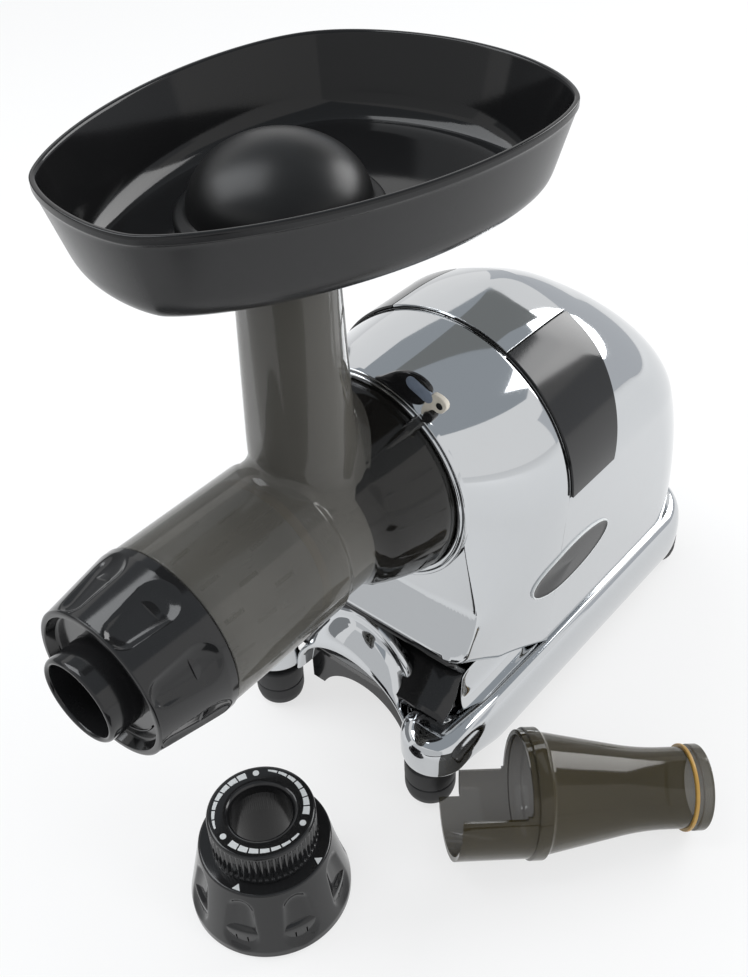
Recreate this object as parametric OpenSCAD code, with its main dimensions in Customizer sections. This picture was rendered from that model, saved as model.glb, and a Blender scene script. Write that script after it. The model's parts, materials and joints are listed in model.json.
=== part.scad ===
// Cold press juicer: a horizontal single-auger machine with a twin gear reduction,
// a chromed housing, a clear drum with its feed chute, a tray, a tamper and two loose attachments.
// Millimetres. Origin on the table between the four feet, +Z up, -Y is the front, where the pulp leaves.

/* [Stance] */
// How far the feet stand in from the centres of the front legs
foot_inset = 2.5; // [1:0.5:5]
// Half the distance between the front and rear feet
foot_dy = 128; // [124:1:130]
// Radius of a rubber foot
foot_r = 15; // [13:0.5:16]
// Height of the front feet, up to the legs
front_foot_h = 30; // [27:1:32]
// Height of the rear feet, up to the skirt
rear_foot_h = 20; // [18:1:23]

/* [Base] */
// How far the skirt stands out from the housing on each side
rail_w = 6.5; // [4:0.5:10]
// Rear end of the base skirt
base_rear_y = 147; // [146:1:152]
// Radius of the skirt's rear corners
base_corner_r = 42; // [36:1:48]
// Height of the deck that the housing stands on
deck_z = 57; // [54:1:63]
// Radius of a front leg
leg_r = 20; // [18:0.5:21]
// Wall thickness of the base shell
base_wall = 4; // [3:0.5:5]
// Gap between the upper edge of the front arch and a leg
arch_room = 3.5; // [2.5:0.5:6]
// Depth of the arch band from its upper edge to its lower edge
arch_lean = 12; // [9:1:14]

/* [Housing] */
// Radius of the housing's round top
arch_top_r = 82; // [74:0.5:90]
// How far the centre of the round top lies below the auger axis
arch_drop = 21; // [17:1:24]
// How far each side of the housing draws in towards the base
side_taper = 6; // [4:0.5:8]
// Rear end of the housing at the deck
housing_rear_y = 143; // [139:1:143]
// Where the top of the housing starts to fall away to the rear
crown_y = 2; // [-2:1:10]
// Radius of the housing's rear corners
housing_corner_r = 53; // [46:1:56]
// Front face of the housing
face_y = -100; // [-103:1:-98]
// Seam between the front shell and the rear shell
seam_y = -35; // [-38:1:-32]
// Wall thickness of both shells
shell_wall = 4; // [3.5:0.5:5]
// Height of the front apron's lower edge above the deck
apron_rise = 21; // [18:1:25]
// Radius of the chromed ring round the socket
socket_r = 61.5; // [60:0.5:63]

/* [Handle band] */
// Height of the lower end of the side inserts above the centre of the round top
band_low_rise = 1; // [0.5:0.5:6]
// Angle round the top, from the side, where an insert meets the chromed band
band_split_a = 63; // [55:1:68]
// Width of the band along the machine at its lower end
band_low_w = 42; // [36:1:48]
// Width of the band along the machine at its top
band_top_w = 57; // [50:1:62]
// Thickness of the band and the inserts
band_t = 1.9; // [1.5:0.1:2.2]

/* [Drum] */
// Outer radius of the drum's barrel
barrel_r = 44.2; // [43.6:0.2:45]
// Outer radius of the drum behind the screen
throat_r = 42; // [41.6:0.2:43]
// Outer radius of the rear flange
flange_r = 58; // [57:0.5:59]
// Rear end of the barrel's wider stretch
barrel_rear_y = -168; // [-171:1:-165]
// Where the bowl of the flange starts
bowl_y = -143; // [-145:1:-141]
// Rear edge of the mounted cap, where the drum's neck starts
neck_y = -244; // [-248:1:-241]
// Length of the neck inside the cap
neck_len = 18; // [16:1:20]
// Radius of the drum's working chamber
chamber_r = 38.4; // [38:0.1:39]
// Wall thickness of the drum
drum_wall = 3.6; // [3:0.1:3.8]

/* [Chute] */
// Distance of the chute's axis from the origin along Y
chute_y = -149; // [-151:1:-147]
// Inner radius of the feed chute
chute_bore_r = 19; // [18:0.25:19.5]
// Outer radius of the chute at the drum
chute_low_r = 25.9; // [25:0.1:27]
// Outer radius of the chute at its top
chute_top_r = 22.3; // [21.8:0.1:23]

/* [Tray] */
// Height of the tray's rim above the auger axis
tray_rise = 202; // [190:1:215]
// Depth of the tray from its rim to its floor
tray_depth = 34; // [28:1:36]
// Slope of the tray's wall: how far the floor's outline stands in from the rim's
tray_draft = 11; // [7:0.5:13]
// Wall thickness of the tray
tray_wall = 2.6; // [2.2:0.1:3]
// Turn of the tray about the chute, in degrees
tray_turn = -6.5; // [-15:0.5:15]

/* [Tamper] */
// Radius of the tamper's dome
dome_r = 40; // [38:0.5:42]
// Height of the tamper's dome above its brim
dome_h = 35; // [32:0.5:38]
// Radius of the tamper's shaft
tamper_shaft_r = 17.6; // [16:0.2:17.8]
// Room between the shaft's end and the auger
tamper_room = 3; // [2:0.5:8]

/* [Auger] */
// Turns of each flight
flight_turns = 1.75; // [1.5:0.25:2]
// Number of flights
flights = 2; // [1:1:2]
// Radius of the auger's core at its rear end
core_rear_r = 13; // [11.5:0.5:15]
// Radius of the auger's core at its front end
core_front_r = 25; // [22:0.5:26]
// Room between the flights and the wall round them
flight_room = 0.8; // [0.6:0.1:1.2]
// Width of a flight's tip as an angle
flight_tip = 9; // [7:0.5:12]

/* [Caps] */
// Radius of a cap at its open edge
cap_r = 45; // [44.6:0.1:46]
// Radius of a cap at its closed edge
cap_front_r = 39; // [38:0.25:40]
// Length of a cap's skirt
cap_len = 41.6; // [39:0.2:43]
// Outer radius of the outlet nozzle
nozzle_r = 22.45; // [21:0.25:23]
// Inner radius of the outlet nozzle
nozzle_bore_r = 19.2; // [17.5:0.1:19.6]
// How far the nozzle stands out of the cap
nozzle_out = 12.4; // [10:0.2:14]
// Number of finger scoops round a cap
scoops = 8; // [6:1:8]

/* [Gear train] */
// Module of the spur gears
gear_module = 1.25; // [1.2:0.01:1.26]
// Teeth of each pinion
pinion_teeth = 12; // [12:1:13]
// Teeth of each wheel
wheel_teeth = 56; // [55:1:56]
// Width of a wheel's teeth
gear_w = 9; // [7:0.5:10]
// Backlash along the pitch circle
backlash = 0.16; // [0.12:0.02:0.24]

/* [Motor] */
// Outer radius of the motor's stator
stator_r = 46; // [43:0.5:48]
// Height of the stator above the deck
cradle_room = 6; // [4:0.5:10]
// Length of the stator's core
stator_len = 60; // [50:1:62]
// Radius of the rotor's core
rotor_r = 25; // [22:0.5:26]
// Radius of the rotor's shaft
motor_shaft_r = 5; // [4.5:0.25:5]

/* [Loose parts] */
// Place of the adjuster cap on the table
spare_cap_at = [30.6, -232.5];
// Turn of the adjuster cap as it stands, in degrees
spare_cap_turn = 0; // [0:5:360]
// Place of the blank cone's open end, from the centre of the right front leg
blank_from_leg = [27.6, -23.1];
// Direction in which the blank cone lies, in degrees from +X
blank_turn = 46; // [44:1:50]

/* [Hidden] */
gear_distance = gear_module * (pinion_teeth + wheel_teeth) / 2;
motor_z = deck_z + cradle_room + stator_r;
axis_h = motor_z + 2 * gear_distance;
counter_z = axis_h - gear_distance;
arch_top_z = axis_h - arch_drop;
housing_foot_half_w = arch_top_r - side_taper;
base_half_w = housing_foot_half_w + rail_w;
leg_x = base_half_w - leg_r;
foot_dx = leg_x - foot_inset;
arch_r = leg_x - leg_r - arch_room;
apron_z = deck_z + apron_rise;
band_low_z = arch_top_z + band_low_rise;
band_split_z = arch_top_z + arch_top_r * sin(band_split_a);
tray_rim_z = axis_h + tray_rise;
chute_top_z = tray_rim_z - tray_depth - 3.5;
$fn = 96;
eps = 0.01;

// Clearances
fit_gap = 0.3;      // between pieces that part or turn by hand
shaft_gap = 0.05;   // between a shaft and its bore
seat_gap = 0.1;     // between pieces fixed to each other

// ---------- general helpers ----------

// A 2D profile in X and Z, drawn from y0 to y1
module along_y(y0, y1) {
    translate([0, y1, 0]) rotate([90, 0, 0]) linear_extrude(y1 - y0) children();
}

// A profile of [radius, y] turned about an axis along Y at height z
module turned(points, z = axis_h) {
    translate([0, 0, z]) rotate([-90, 0, 0]) rotate_extrude() polygon(points);
}

// A straight rod or bore along Y
module rod(r, y0, y1, z = axis_h, x = 0, sides = $fn) {
    translate([x, y0, z]) rotate([-90, 0, 0]) cylinder(r = r, h = y1 - y0, $fn = sides);
}

// A ring along Y
module tube_y(r_out, r_in, y0, y1, z = axis_h) {
    difference() {
        rod(r_out, y0, y1, z);
        rod(r_in, y0 - 1, y1 + 1, z);
    }
}

// A closed skin through rings of as many points each; each ring turns about the way the rings go
module loft(rings) {
    n = len(rings[0]);
    m = len(rings);
    polyhedron(
        points = [for (ring = rings) each ring],
        faces = concat(
            [[for (i = [0:n - 1]) i]],
            [for (j = [0:m - 2], i = [0:n - 1]) [j * n + i, (j + 1) * n + i, (j + 1) * n + (i + 1) % n]],
            [for (j = [0:m - 2], i = [0:n - 1]) [j * n + i, (j + 1) * n + (i + 1) % n, j * n + (i + 1) % n]],
            [[for (i = [n - 1:-1:0]) (m - 1) * n + i]]
        )
    );
}

function lerp(a, b, t) = a + (b - a) * t;
function clamp01(t) = max(0, min(1, t));
function smooth(t) = let (c = clamp01(t)) c * c * (3 - 2 * c);

// ---------- housing form ----------

crown_z = arch_top_z + arch_top_r;
rear_power = 1.85;      // roundness of the housing's rear, seen from the side
front_corner_r = 14;    // lower corners of the front face

// Half width of the housing at height z, with a skin of thickness w taken off
function half_w(z, w = 0) =
    z <= arch_top_z
        ? lerp(housing_foot_half_w, arch_top_r, (z - deck_z) / (arch_top_z - deck_z)) - w
        : sqrt(max(0, pow(arch_top_r - w, 2) - pow(z - arch_top_z, 2)));

// Rear end of the housing at height z
function rear_y(z, w = 0) =
    let (k = clamp01((z - deck_z) / (crown_z - w - deck_z)))
    crown_y + (housing_rear_y - w - crown_y) * pow(1 - pow(k, rear_power), 1 / rear_power);

// One level of the rear shell, seen from above, from the right front corner round the rear
corner_steps = 7;
function rear_ring(z, front, w = 0) =
    let (
        x = half_w(z, w),
        y = max(rear_y(z, w), front + 3),
        rx = min(housing_corner_r - w, x),
        ry = min(housing_corner_r - w, y - front - 2),
        right = [for (i = [0:corner_steps])
            [x - rx + rx * cos(90 * i / corner_steps), y - ry + ry * sin(90 * i / corner_steps), z]]
    )
    concat(
        [[x, front, z]], right,
        [for (i = [corner_steps:-1:0]) [-right[i][0], right[i][1], z]],
        [[-x, front, z]]
    );

crown_steps = 11;
function rear_levels(w, low) = concat(
    [low, deck_z + 22, deck_z + 50, arch_top_z - 35],
    [for (i = [0:crown_steps]) arch_top_z + (arch_top_r - w) * sin(88 * i / crown_steps)]
);

module rear_form(front, w = 0, low = deck_z) {
    loft([for (z = rear_levels(w, low)) rear_ring(z, front, w)]);
}

// One section of the front shell; t runs from 0 at the face to 1 at the seam
face_top_r = socket_r - 1.5;
flare_power = 1.8;
side_steps = 6;
top_steps = 10;
function flare(t) = 1 - pow(1 - t, flare_power);
function front_low_z(t) = deck_z + (apron_z - deck_z) * cos(90 * t);
function front_side_x(k, t) =
    let (
        face_x = face_top_r + 15 * smooth(k * 1.35),
        z_seam = lerp(arch_top_z, deck_z, k)
    )
    lerp(face_x, half_w(z_seam), flare(t));

function front_ring(t, w = 0) =
    let (
        e = flare(t),
        y = lerp(face_y, seam_y, t),
        r = lerp(face_top_r, arch_top_r, e) - w,
        zc = lerp(axis_h, arch_top_z, e),
        low = front_low_z(t) - (w > 0 ? 2 : 0),
        rc = lerp(front_corner_r, 2, t),
        xb = front_side_x(1, t) - w,
        top = [for (i = [0:top_steps]) let (a = 90 - 90 * i / top_steps) [r * cos(a), y, zc + r * sin(a)]],
        side = [for (i = [1:side_steps]) let (k = i / (side_steps + 1))
            [front_side_x(k, t) - w, y, lerp(zc, low, k)]],
        corner = [for (i = [0:3]) let (a = -90 * i / 3) [xb - rc + rc * cos(a), y, low + rc + rc * sin(a)]],
        half = concat(top, side, corner)
    )
    concat(half, [for (i = [len(half) - 1:-1:1]) [-half[i][0], half[i][1], half[i][2]]]);

front_stations = [0, 0.08, 0.2, 0.36, 0.55, 0.78, 1];

module front_form(w = 0) {
    loft([for (t = front_stations) front_ring(t, w)]);
}

// ---------- base ----------

skirt_low_z = rear_foot_h;
rail_drop = 6;       // how far the rail's rounded edge falls in at the deck
rail_front_y = -foot_dy + 2;     // centres of the front legs
blank_at = [leg_x + blank_from_leg[0], rail_front_y + blank_from_leg[1]];
wall_front_y = rail_front_y + 22;   // front wall of the base, behind the arch
leg_high_z = deck_z + 3;

// One level of the skirt: out is how far it stands proud of the base's outline
function skirt_ring(z, out) =
    let (
        hw = base_half_w + out,
        ry = base_rear_y + out,
        r = base_corner_r + out,
        right = [for (i = [0:6]) [hw - r + r * cos(15 * i), ry - r + r * sin(15 * i), z]]
    )
    concat(
        [[hw, rail_front_y, z]], right,
        [for (i = [6:-1:0]) [-right[i][0], right[i][1], z]],
        [[-hw, rail_front_y, z]]
    );

skirt_profile = [[0, -3], [0.16, -0.8], [0.45, 0], [0.7, -0.6], [0.88, -2.4], [1, -rail_drop]];

module skirt_form() {
    loft([for (p = skirt_profile) skirt_ring(lerp(skirt_low_z, deck_z, p[0]), p[1])]);
}

arch_z = deck_z + 1;             // centre of the arch's upper edge
arch_top_y = rail_front_y + 10;  // plane of the arch's upper edge
arch_low_r = arch_r + 6;
arch_low_z = arch_z - 29;
arch_steps = 12;
arch_t = 3;                      // thickness of the arch band
arch_back = 6;                   // how far the band reaches back from its upper edge

// Corners of the arch band's section at step i, from one leg over the top to the other; the first and
// last stand on the legs
function arch_edge(i, r_top, r_low) =
    let (
        k = max(0, min(arch_steps, i)),
        a = 180 - 180 * k / arch_steps,
        b = 158 - 136 * k / arch_steps,
        foot = i < 0 || i > arch_steps,
        out = foot ? (i < 0 ? -2.5 : 2.5) : 0
    )
    [
        [r_top * cos(a) + out, foot ? front_foot_h + 6 : arch_z - 12 * (1 - sin(a)) + r_top * sin(a)],
        [r_low * cos(b) + out, foot ? front_foot_h + 4 : arch_low_z + r_low * sin(b)]
    ];

module arch_band(gap = 0) {
    y_back = arch_top_y + arch_back + gap;
    loft([for (i = [-1:arch_steps + 1])
        let (
            o = arch_edge(i, arch_r + gap, arch_low_r + gap),
            n = arch_edge(i, arch_r - arch_t - gap, arch_low_r - arch_t - gap),
            y_low = arch_top_y - arch_lean - gap
        )
        [
            [o[0][0], arch_top_y - gap, o[0][1]],
            [lerp(o[0][0], o[1][0], 0.35), arch_top_y - 0.6 * arch_lean - gap, lerp(o[0][1], o[1][1], 0.3) + 1.5],
            [o[1][0], y_low, o[1][1]],
            [n[1][0], y_low, n[1][1]],
            [lerp(n[0][0], n[1][0], 0.3), arch_top_y - 2, lerp(n[0][1], n[1][1], 0.3)],
            [n[0][0], y_back, n[0][1]],
            [o[0][0], y_back, o[0][1]]
        ]]);
}

leg_round = 9;

// A leg's form turned about its own axis, grown by gap
module leg(side, gap = 0) {
    r = leg_round;
    h = leg_high_z - front_foot_h - 2 * r;
    translate([side * leg_x, rail_front_y, 0]) rotate_extrude()
        polygon(concat(
            [[0, front_foot_h - gap], [leg_r - r + 2, front_foot_h - gap]],
            [for (a = [-60:15:0]) [leg_r - r + (r + gap) * cos(a), leg_high_z - r - h + (r + gap) * sin(a)]],
            [for (a = [0:15:75]) [leg_r - r + (r + gap) * cos(a), leg_high_z - r + (r + gap) * sin(a)]],
            [[0, leg_high_z + 1 + gap]]
        ));
}

vent_y = [-30, 20, 70];
vent_w = 50;
module base_frame() {
    color("gainsboro") {
        difference() {
            skirt_form();
            // hollow under the deck
            translate([0, 0, -eps]) linear_extrude(deck_z - base_wall) base_inside();
            // front cut between the legs
            translate([-leg_x, rail_front_y - 5, 0]) cube([2 * leg_x, wall_front_y - rail_front_y + 5, deck_z + 10]);
            for (s = [-1, 1]) translate([s * foot_dx, -foot_dy, -1])
                cylinder(r = foot_r + fit_gap, h = front_foot_h + 1);
            // openings for the motor's cooling air and the wiring
            for (y = vent_y) translate([-vent_w / 2, y, deck_z - base_wall - 1])
                cube([vent_w, 8, base_wall + 2]);
            rod(inlet_r + seat_gap, base_rear_y - base_wall - 12, base_rear_y + 5, inlet_z);
            for (p = base_screw_spots)
                translate([p[0], p[1], deck_z - base_wall - 1]) cylinder(r = screw_r + 0.4, h = 10);
        }
        leg(-1);
        leg(1);
        arch_band();
    }
}

// Space inside the skirt, seen from above
module base_inside(gap = 0) {
    w = base_wall + 3 + gap;
    hull() {
        for (s = [-1, 1]) {
            translate([s * (base_half_w - base_corner_r), base_rear_y - base_corner_r])
                circle(r = base_corner_r - w);
            translate([s * (base_half_w - w - 1), wall_front_y + base_wall + 1]) circle(r = 1);
        }
    }
}

liner_rear_y = arch_top_y + arch_back;
liner_r = arch_r - 5;
liner_z = arch_low_z - 24;
liner_half_w = arch_r + 0.5;

module arch_liner() {
    color("black") difference() {
        along_y(arch_top_y - 2, liner_rear_y - seat_gap) difference() {
            intersection() {
                translate([0, arch_low_z]) circle(r = arch_low_r - arch_t - seat_gap);
                translate([-liner_half_w, rear_foot_h]) square([2 * liner_half_w, leg_high_z]);
            }
            translate([0, liner_z]) circle(r = liner_r);
        }
        arch_band(seat_gap);
        for (s = [-1, 1]) leg(s, seat_gap);
    }
}

panel_half_w = housing_foot_half_w - shell_wall;
panel_rear_y = face_y + 2;
module recess_panel() {
    color("black") difference() {
        union() {
            translate([-panel_half_w, 0, 0]) rotate([90, 0, 90]) linear_extrude(2 * panel_half_w)
                polygon([
                    [panel_rear_y, deck_z + seat_gap], [panel_rear_y, apron_z - 0.4],
                    [rail_front_y + 2, deck_z + 4], [rail_front_y + 2, deck_z + 2],
                    [liner_rear_y, deck_z + 2], [liner_rear_y, deck_z + seat_gap]
                ]);
            for (s = [-1, 1]) scale([s, 1, 1]) {
                x = panel_half_w - 6.5;
                translate([x, panel_rear_y - 1, deck_z + seat_gap]) cube([2.5, 14, apron_rise - 2]);
                translate([x, panel_rear_y + 12, deck_z + seat_gap])
                    cube([2.5, seam_y - panel_rear_y - 17, apron_rise + 4]);
            }
        }
        along_y(rail_front_y - leg_r, liner_rear_y + seat_gap) translate([0, arch_z]) circle(r = arch_r + 0.4);
        for (s = [-1, 1]) leg(s, seat_gap);
    }
}

screw_r = 1.8;
boss_r = 6.5;
boss_x = housing_foot_half_w - shell_wall - boss_r + 2;
base_screw_spots = [for (x = [-boss_x, boss_x], y = [-20, 35, 85]) [x, y]];

module bottom_plate() {
    color("dimgray") difference() {
        translate([0, 0, skirt_low_z]) linear_extrude(2.5) base_inside(seat_gap);
        for (i = [-4:4]) translate([-30, 10 * i + 30, skirt_low_z - 1]) cube([60, 4, 5]);
    }
}

module foot(side, end) {
    h = end < 0 ? front_foot_h : rear_foot_h;
    color("black") translate([side * foot_dx, end * foot_dy, 0]) rotate_extrude()
        polygon([[0, 0], [foot_r - 5, 0], [foot_r - 1.2, 2.6], [foot_r, 8], [foot_r, h - seat_gap], [0, h - seat_gap]]);
}

// ---------- shells ----------

band_rear_low = seam_y + band_low_w;
band_rear_top = seam_y + band_top_w;

// Side view of the band, as [y, z]
module band_outline(low, high, grow = 0) {
    slope = (band_rear_top - band_rear_low) / (band_split_z - band_low_z);
    polygon([
        [seam_y - 1, low - grow], [band_rear_low + slope * (low - band_low_z) + grow, low - grow],
        [band_rear_low + slope * (high - band_low_z) + grow, high], [seam_y - 1, high]
    ]);
}

// The skin of the rear form between two depths, as far as the band reaches
module band_skin(low, high, top, bottom, front, grow = 0) {
    intersection() {
        difference() {
            rear_form(front, top);
            rear_form(front - 3, bottom, deck_z - 1);
        }
        translate([-arch_top_r - 5, 0, 0]) rotate([90, 0, 90]) linear_extrude(2 * arch_top_r + 10)
            band_outline(low, high, grow);
    }
}

module front_shell() {
    color("gainsboro") difference() {
        front_form();
        difference() {
            front_form(shell_wall);
            along_y(face_y - 10, face_y + shell_wall) translate([-arch_top_r, 0]) square([2 * arch_top_r, 2 * crown_z]);
        }
        // open at the rear and below
        along_y(seam_y - 2, seam_y + 1) offset_section();
        translate([-panel_half_w + 6, face_y + shell_wall, 0]) cube([2 * panel_half_w - 12, 80, apron_z + 1.5]);
        rod(hub_room_r, face_y - 1, face_y + shell_wall + 1);
        for (p = socket_screws_at) rod(screw_r + 0.2, face_y - 1, face_y + shell_wall + 1, p[1], p[0]);
    }
}

module offset_section() {
    polygon([for (p = front_ring(1, shell_wall)) [p[0], p[2]]]);
}

hub_room_r = 44;
socket_screw_r = 50.5;
socket_screw_angles = [20, 160, 200, 340];
socket_screws_at = [for (a = socket_screw_angles) [socket_screw_r * cos(a), axis_h + socket_screw_r * sin(a)]];
boss_h = 16;

module rear_shell() {
    color("gainsboro") difference() {
        union() {
            difference() {
                rear_form(seam_y + seat_gap);
                rear_form(seam_y - 3, shell_wall, deck_z - 1);
                band_skin(band_low_z - seat_gap, crown_z + 5, -1, band_t + seat_gap, seam_y - 1, seat_gap);
            }
            intersection() {
                rear_form(seam_y + seat_gap, 1);
                for (p = base_screw_spots) translate([p[0], p[1], deck_z]) cylinder(r = boss_r, h = boss_h);
            }
        }
        for (p = base_screw_spots) translate([p[0], p[1], deck_z - 1]) cylinder(r = screw_r + 0.05, h = boss_h - 2);
        switch_room(switch_half_l + 2.2, switch_half_h + 2.2, 12);
    }
}

module handle_band() {
    color("gainsboro") band_skin(band_split_z + 0.2, crown_z + 5, 0, band_t, seam_y + seat_gap);
}

module side_insert(side) {
    color("black") intersection() {
        band_skin(band_low_z, band_split_z, 0, band_t, seam_y + seat_gap);
        translate([side > 0 ? 0 : -crown_z, face_y, 0]) cube([crown_z, crown_z, crown_z]);
    }
}

badge_len = 76;
badge_h = 19;
badge_at = [-21, 117];

module badge_plate() {
    lean = atan2(arch_top_r - housing_foot_half_w, arch_top_z - deck_z);
    color("black") translate([half_w(badge_at[1]) + 0.05, badge_at[0], badge_at[1]])
        rotate([0, 90 + lean, 0]) scale([badge_h / badge_len, 1, 1]) cylinder(r = badge_len / 2, h = 1.2);
}

// ---------- socket and lock ----------

dish_t = 1.4;    // floor of the socket ring
module socket_ring() {
    color("silver") difference() {
        turned([
            [flange_r + 0.5, face_y - 4], [socket_r - 0.8, face_y - 4], [socket_r, face_y - 3.2],
            [socket_r, face_y], [hub_room_r + 2, face_y], [hub_room_r + 2, face_y - dish_t],
            [flange_r + 0.5, face_y - dish_t]
        ]);
        for (p = socket_screws_at) rod(screw_r + 0.2, face_y - 3, face_y + 1, p[1], p[0]);
    }
}

module socket_screws() {
    color("silver") for (p = socket_screws_at) {
        rod(screw_r, face_y - dish_t - 1, case_front_y + 6, p[1], p[0]);
        rod(screw_r + 1.4, face_y - dish_t - 1.4, face_y - dish_t - 0.05, p[1], p[0]);
    }
}

lock_in_r = socket_r + fit_gap;
lock_tab_a = 20;      // angle of the tab from the top, towards +X

module lock_ring() {
    color("black") difference() {
        union() {
            tube_y(lock_in_r + 2, lock_in_r, face_y - 3.4, face_y - 0.4);
            intersection() {
                tube_y(lock_in_r + 13, lock_in_r + 1, face_y - 8, face_y - 0.4);
                translate([0, 0, axis_h]) rotate([0, lock_tab_a, 0]) lock_tab_wedge();
            }
        }
        translate([0, 0, axis_h]) rotate([0, lock_tab_a + 9, 0]) translate([0, face_y - 20, lock_in_r + 8])
            rotate([-90, 0, 0]) cylinder(r = 2, h = 30);
    }
}

module lock_tab_wedge() {
    rotate([90, 0, 0]) translate([0, 0, -face_y - 5]) linear_extrude(30)
        polygon([[0, 0], [-30, 105], [30, 105]]);
}

// ---------- drum ----------

neck_out_r = 40.4;
neck_front_y = neck_y - neck_len;
chamber_rear_y = -128;
rear_wall_t = 4;
screen_seat_y = -178;
screen_room_r = 40.6;
hub_r = 9;
seal_r = 15;
spout_y = -208;
spout_bore_r = 6.5;
spout_r = 9;
spout_low_z = axis_h - 54;

module drum() {
    color([0.45, 0.42, 0.38, 0.6]) difference() {
        union() {
            turned([
                [0, neck_front_y], [neck_out_r - 0.8, neck_front_y], [neck_out_r, neck_front_y + 1],
                [neck_out_r, neck_y + 0.4], [barrel_r, neck_y + 0.4], [barrel_r, barrel_rear_y],
                [throat_r, barrel_rear_y + 3], [throat_r, bowl_y], [throat_r + 7, bowl_y + 9],
                [flange_r - 4, bowl_y + 22], [flange_r, bowl_y + 33], [flange_r, face_y - dish_t - 0.4],
                [0, face_y - dish_t - 0.4]
            ]);
            // feed chute with its flared root
            translate([0, chute_y, axis_h + 20]) cylinder(r1 = chute_low_r + 1, r2 = chute_low_r, h = 35);
            translate([0, chute_y, axis_h + 55])
                cylinder(r1 = chute_low_r, r2 = chute_top_r, h = chute_top_z - axis_h - 55);
            // juice spout
            translate([0, spout_y, spout_low_z]) cylinder(r = spout_r, h = 20);
        }
        // chamber, screen room and neck
        turned([
            [0, neck_front_y - 1], [neck_out_r - 2.8, neck_front_y - 1], [neck_out_r - 2.8, neck_y + 4],
            [screen_room_r, neck_y + 8], [screen_room_r, screen_seat_y], [chamber_r, screen_seat_y],
            [chamber_r, chamber_rear_y], [0, chamber_rear_y]
        ]);
        // bowl behind the rear wall
        turned([
            [0, chamber_rear_y + rear_wall_t], [throat_r + 4, chamber_rear_y + rear_wall_t],
            [flange_r - drum_wall, bowl_y + 34], [flange_r - drum_wall, face_y], [0, face_y]
        ]);
        rod(seal_r, chamber_rear_y - 1, chamber_rear_y + rear_wall_t + 1);
        translate([0, chute_y, axis_h + 10]) cylinder(r = chute_bore_r, h = 300);
        translate([0, spout_y, spout_low_z - 1]) cylinder(r = spout_bore_r, h = 30);
    }
}

module drum_seal() {
    color("black") difference() {
        union() {
            rod(seal_r, chamber_rear_y, chamber_rear_y + rear_wall_t);
            rod(hub_r + 4, chamber_rear_y + rear_wall_t, chamber_rear_y + rear_wall_t + 3);
        }
        rod(hub_r + shaft_gap, chamber_rear_y - 1, chamber_rear_y + 10);
    }
}

// ---------- screen ----------

screen_rear_r = screen_room_r - 0.5;
screen_front_r = 35;
screen_front_y = neck_front_y + 4;
screen_t = 1.6;

module juicing_screen() {
    color("silver") difference() {
        turned([
            [screen_rear_r - screen_t, screen_seat_y - 5], [screen_rear_r, screen_seat_y - 5],
            [screen_rear_r, screen_seat_y - 8], [screen_front_r, neck_y], [screen_front_r, screen_front_y],
            [screen_front_r - screen_t, screen_front_y], [screen_front_r - screen_t, neck_y],
            [screen_rear_r - screen_t, screen_seat_y - 8]
        ]);
        for (a = [0:30:330], row = [0:2]) translate([0, 0, axis_h]) rotate([0, a + 15 * (row % 2), 0])
            translate([25, screen_seat_y - 28 - 15 * row, -1.2]) cube([30, 11, 2.4]);
    }
}

module screen_ring() {
    color("goldenrod") tube_y(screen_room_r - 0.1, screen_rear_r - screen_t, screen_seat_y - 4.9, screen_seat_y - 0.1);
}

// ---------- auger ----------

auger_rear_y = chamber_rear_y - 0.6;
auger_front_y = screen_front_y + 3;
flight_rear_r = chamber_r - flight_room;
flight_step = 15;

// Inner radius of whatever surrounds the auger at y
function wall_r(y) =
    y > screen_seat_y - 0 ? chamber_r
    : y > screen_seat_y - 8 ? screen_rear_r - screen_t
    : y > neck_y ? lerp(screen_rear_r, screen_front_r, (screen_seat_y - 8 - y) / (screen_seat_y - 8 - neck_y)) - screen_t
    : screen_front_r - screen_t;
function tip_r(y) = min(wall_r(y), wall_r(y - 2.5), wall_r(y + 2.5)) - flight_room;
function core_r(y) =
    lerp(core_rear_r, core_front_r, smooth((auger_rear_y - y) / (auger_rear_y - auger_front_y)));

// One section of the auger, turned by the flight's lead
root_half = 34;
function auger_ring(y, turn) =
    let (c = core_r(y), r = tip_r(y))
    [for (f = [0:flights - 1]) each
        let (a0 = turn + 360 * f / flights, gap = 360 / flights - 2 * root_half)
        concat(
            [[c, a0 - root_half], [c + (r - c) * 0.45, a0 - flight_tip - 4], [r, a0 - flight_tip],
             [r, a0 + flight_tip], [c + (r - c) * 0.45, a0 + flight_tip + 4], [c, a0 + root_half]],
            [for (i = [1:4]) [c, a0 + root_half + gap * i / 5]]
        )
    ];

function auger_section(y, turn) =
    [for (p = auger_ring(y, turn)) [p[0] * sin(p[1]), y, axis_h + p[0] * cos(p[1])]];

module auger() {
    steps = ceil(flight_turns * 360 / flight_step);
    color([0.2, 0.2, 0.2]) difference() {
        union() {
            loft([for (i = [0:steps])
                auger_section(lerp(auger_front_y, auger_rear_y, i / steps), flight_step * i)]);
            rod(hub_r, auger_rear_y - 1, chamber_rear_y + rear_wall_t + 5);
        }
        rod(hex_r + seat_gap, auger_rear_y - 24, chamber_rear_y + 20, sides = 6);
    }
}

hex_r = 6.4;
spindle_front_y = -116;

module auger_shaft() {
    color("silver") rod(hex_r, auger_rear_y - 23.8, spindle_front_y + 14, sides = 6);
}

// ---------- caps ----------

cap_in_r = neck_out_r + fit_gap;
cap_wall = 3;
web_t = 3;
web_recess = 6;

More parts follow.
